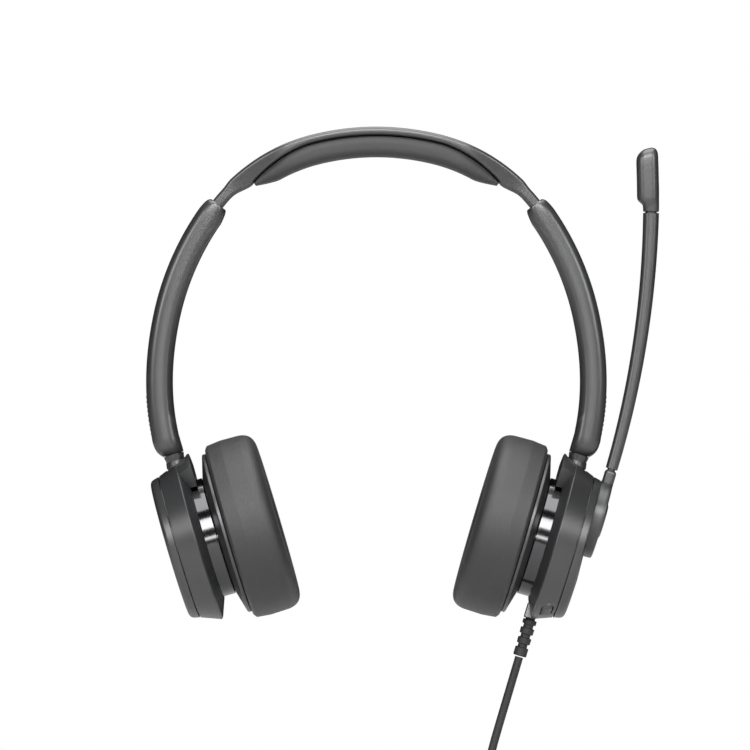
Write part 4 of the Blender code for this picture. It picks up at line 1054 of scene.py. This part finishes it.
def makeMicrophone(values):
    end = values["length"] / values["arc"]
    loops = [boomLoop(values, end, height * mm, lean * mm, half * mm, wide * mm, 0.7, 8, slant)
             for height, lean, half, wide, slant in headRows]
    head = sweep("microphone_head_fine", loops)
    lean = Matrix.Translation(boomPlace(values, end)) @ Matrix.Rotation(end, 4, "Y")
    port = box("port", (2 * mm, -1.9 * mm, 10 * mm), (8 * mm, 1.9 * mm, 17 * mm), 0.9 * mm)
    boolean(head, applyPlace(port, lean))
    toRight(onCup(head))
    settle(head, micPlastic, "boom", "microphone_head", 35)
    screen = box("microphone_screen_fine", (4.4 * mm, -1.6 * mm, 10.3 * mm), (5.0 * mm, 1.6 * mm, 16.7 * mm),
                 0.25 * mm)
    toRight(onCup(applyPlace(screen, lean)))
    settle(screen, scrim, "boom", "microphone_screen")


def makeSpindleAndButtons(cup):
    rim, bore = cup["spindleRadius"] + 1.0 * mm, cup["buttonRadius"] + 0.35 * mm
    face, nutFace = hubFace + 0.2 * mm, seam + 1.3 * mm
    corners = [
        (face, bore, 0.15), (face, rim, 0.25), (face + 0.9 * mm, rim, 0),
        (face + 0.9 * mm, cup["spindleRadius"], 0), (nutFace, cup["spindleRadius"], 0), (nutFace, bore, 0)]
    spindle = toRight(onCup(aboutBoom(lathe("boom_spindle_fine", filleted(corners), 128))))
    settle(spindle, smokedChrome, "right_cup", "boom_spindle", 30)

    face, radius = hubFace - 0.8 * mm, cup["buttonRadius"]
    stemEnd = seam + 1.6 * mm - gap - 0.5 * mm
    corners = [
        (face + 0.35 * mm, 0, 0), (face + 0.3 * mm, 3.5 * mm, 1.5), (face, radius - 0.9 * mm, 0.4),
        (face + 0.35 * mm, radius - 0.05 * mm, 0.3), (face + 2.4 * mm, radius, 0),
        (face + 2.4 * mm, 1.5 * mm, 0), (stemEnd, 1.5 * mm, 0), (stemEnd, 0, 0)]
    button = toRight(onCup(aboutBoom(lathe("centre_button_fine", filleted(corners), 96))))
    settle(button, graphite, "centre_button", "centre_button", 30)
    for name, side in (("volume_up_button", 1), ("volume_down_button", -1)):
        angle = side * cup["volumeAngle"]
        button = volumeBlock(cup, name + "_fine", angle, 0.0, 0.4 * mm, 3 * mm, 0.95 * mm)
        settle(toRight(onCup(button)), darkGraphite, name, name, 35)


def makeVolumeMark(cup):
    # a small plus in relief beside the front button
    bars = []
    for long, wide in ((0.62, 0.13), (0.13, 0.62)):
        bars.append(box("bar", (-wide * mm, -long * mm, -0.3 * mm), (wide * mm, long * mm, 0.07 * mm)))
    mark = joinPieces(bars[0], bars[1:])
    mark.name = "volume_mark"
    toRight(onCup(applyPlace(mark, flarePlace(cup, cup["markAngle"]))))
    settle(mark, markPaint, "right_cup")


makeHub(boomValues, cupValues)
makeBoomArm(boomValues)
makeMicrophone(boomValues)
makeSpindleAndButtons(cupValues)
makeVolumeMark(cupValues)
print("boom made")


# ---- strain relief, tie and plug ----

reliefValues = {"inset": 4.2 * mm, "shank": 1.7 * mm, "radius": 2.5 * mm, "length": 13.4 * mm,
                "segments": 3, "segmentPitch": 3.6 * mm, "grooveDepth": 0.7 * mm}


def makeRelief(values, cup):
    shankTop, top, radius = -cup["lipRadius"] + values["inset"], -cup["lipRadius"] - gap, values["radius"]
    corners = [
        (shankTop, 0, 0), (shankTop, values["shank"], 0), (top, values["shank"], 0), (top, radius, 0.2)]
    low = top - 1.6 * mm
    for number in range(values["segments"]):
        wide = radius - 0.05 * mm * number
        groove = wide - values["grooveDepth"]
        corners += [
            (low, wide, 0.25), (low - 0.15 * mm, groove, 0.2), (low - 1.35 * mm, groove, 0.2),
            (low - 1.5 * mm, wide, 0.25)]
        low -= values["segmentPitch"]
    end = top - values["length"]
    corners += [(end, radius - 0.1 * mm, 0.4), (end, 0, 0)]
    relief = toRight(onCup(lathe("strain_relief_fine", filleted(corners), 64, alongZ)))
    settle(relief, cordRubber, "right_cup", "strain_relief", 40)


makeRelief(reliefValues, cupValues)

nodeFinishes = {
    "headband_spring": springSteel, "headband_lead": cordRubber, "detent_spring": springSteel,
    "swivel_clip": springSteel, "tilt_pin": springSteel, "plate_screw_1": springSteel,
    "plate_screw_2": springSteel, "driver_basket": blackPlastic, "driver_magnet": nickel,
    "diaphragm": filmPlastic, "speaker_cloth": scrim, "friction_ring": cordRubber,
    "microphone_capsule": nickel, "spindle_nut": turnedBrass, "circuit_board": boardMask,
    "button_switch": nickel, "cord_tie": scrim, "plug_body": cordRubber, "plug_shell": nickel,
    "plug_tongue": blackPlastic,
}


def finishNodes():
    # the CAD nodes that stay get their finishes
    for name, node in frame["nodes"].items():
        key = name.replace("left_", "").replace("right_", "")
        if key in nodeFinishes:
            node.data.materials.clear()
            node.data.materials.append(nodeFinishes[key])


finishNodes()


# ---- floor, light ----

stageValues = {"radius": 1.3, "height": -0.34, "grey": 0.6, "roughness": 0.8}


def makeStage(values):
    deselectAll()
    bpy.ops.mesh.primitive_circle_add(vertices=96, radius=values["radius"], fill_type="NGON",
                                      location=(0, 0, values["height"]))
    floor = bpy.context.object
    floor.name = "pale_floor"
    applyPlace(floor)
    finish = bpy.data.materials.new("paleFloor")
    finish.use_nodes = True
    shader = finish.node_tree.nodes["Principled BSDF"]
    shader.inputs["Base Color"].default_value = (*[values["grey"]] * 3, 1)
    shader.inputs["Roughness"].default_value = values["roughness"]
    floor.data.materials.append(finish)


lightValues = {
    "front": {"place": (0.0, -1.95, 0.9), "size": (1.15, 0.78), "power": 34},
    "level": {"place": (0.0, -2.7, -0.1), "size": (0.9, 0.22), "power": 6},
    "leftSide": {"place": (-1.3, -1.45, 0.45), "size": (0.6, 0.7), "power": 12},
    "rightSide": {"place": (1.3, -1.45, 0.45), "size": (0.6, 0.7), "power": 12},
    "top": {"place": (0.0, -0.05, 1.35), "size": (1.3, 1.9), "power": 32},
}
lightAim = (0, 0, -0.1)
ambientGrey = 0.012


def makeLights(values, aim, grey):
    for name, light in values.items():
        deselectAll()
        bpy.ops.object.light_add(type="AREA", location=light["place"])
        lamp = bpy.context.object
        lamp.name = name + "Light"
        lamp.data.shape = "RECTANGLE"
        lamp.data.size, lamp.data.size_y = light["size"]
        lamp.data.energy = light["power"]
        lamp.rotation_mode = "QUATERNION"
        lamp.rotation_quaternion = (Vector(aim) - Vector(light["place"])).to_track_quat("-Z", "Y")
    # the camera sees a white room, which lights the object only faintly
    world = bpy.data.worlds.new("paleStudio")
    bpy.context.scene.world = world
    world.use_nodes = True
    tree = world.node_tree
    background = tree.nodes["Background"]
    background.inputs["Color"].default_value = (grey, grey, grey, 1)
    white = tree.nodes.new("ShaderNodeBackground")
    white.inputs["Color"].default_value = (1, 1, 1, 1)
    mix = tree.nodes.new("ShaderNodeMixShader")
    rays = tree.nodes.new("ShaderNodeLightPath")
    tree.links.new(rays.outputs["Is Camera Ray"], mix.inputs[0])
    tree.links.new(background.outputs[0], mix.inputs[1])
    tree.links.new(white.outputs[0], mix.inputs[2])
    tree.links.new(mix.outputs[0], tree.nodes["World Output"].inputs["Surface"])


makeStage(stageValues)
makeLights(lightValues, lightAim, ambientGrey)
bpy.context.scene.view_settings.view_transform = "Standard"

print("scene ready")
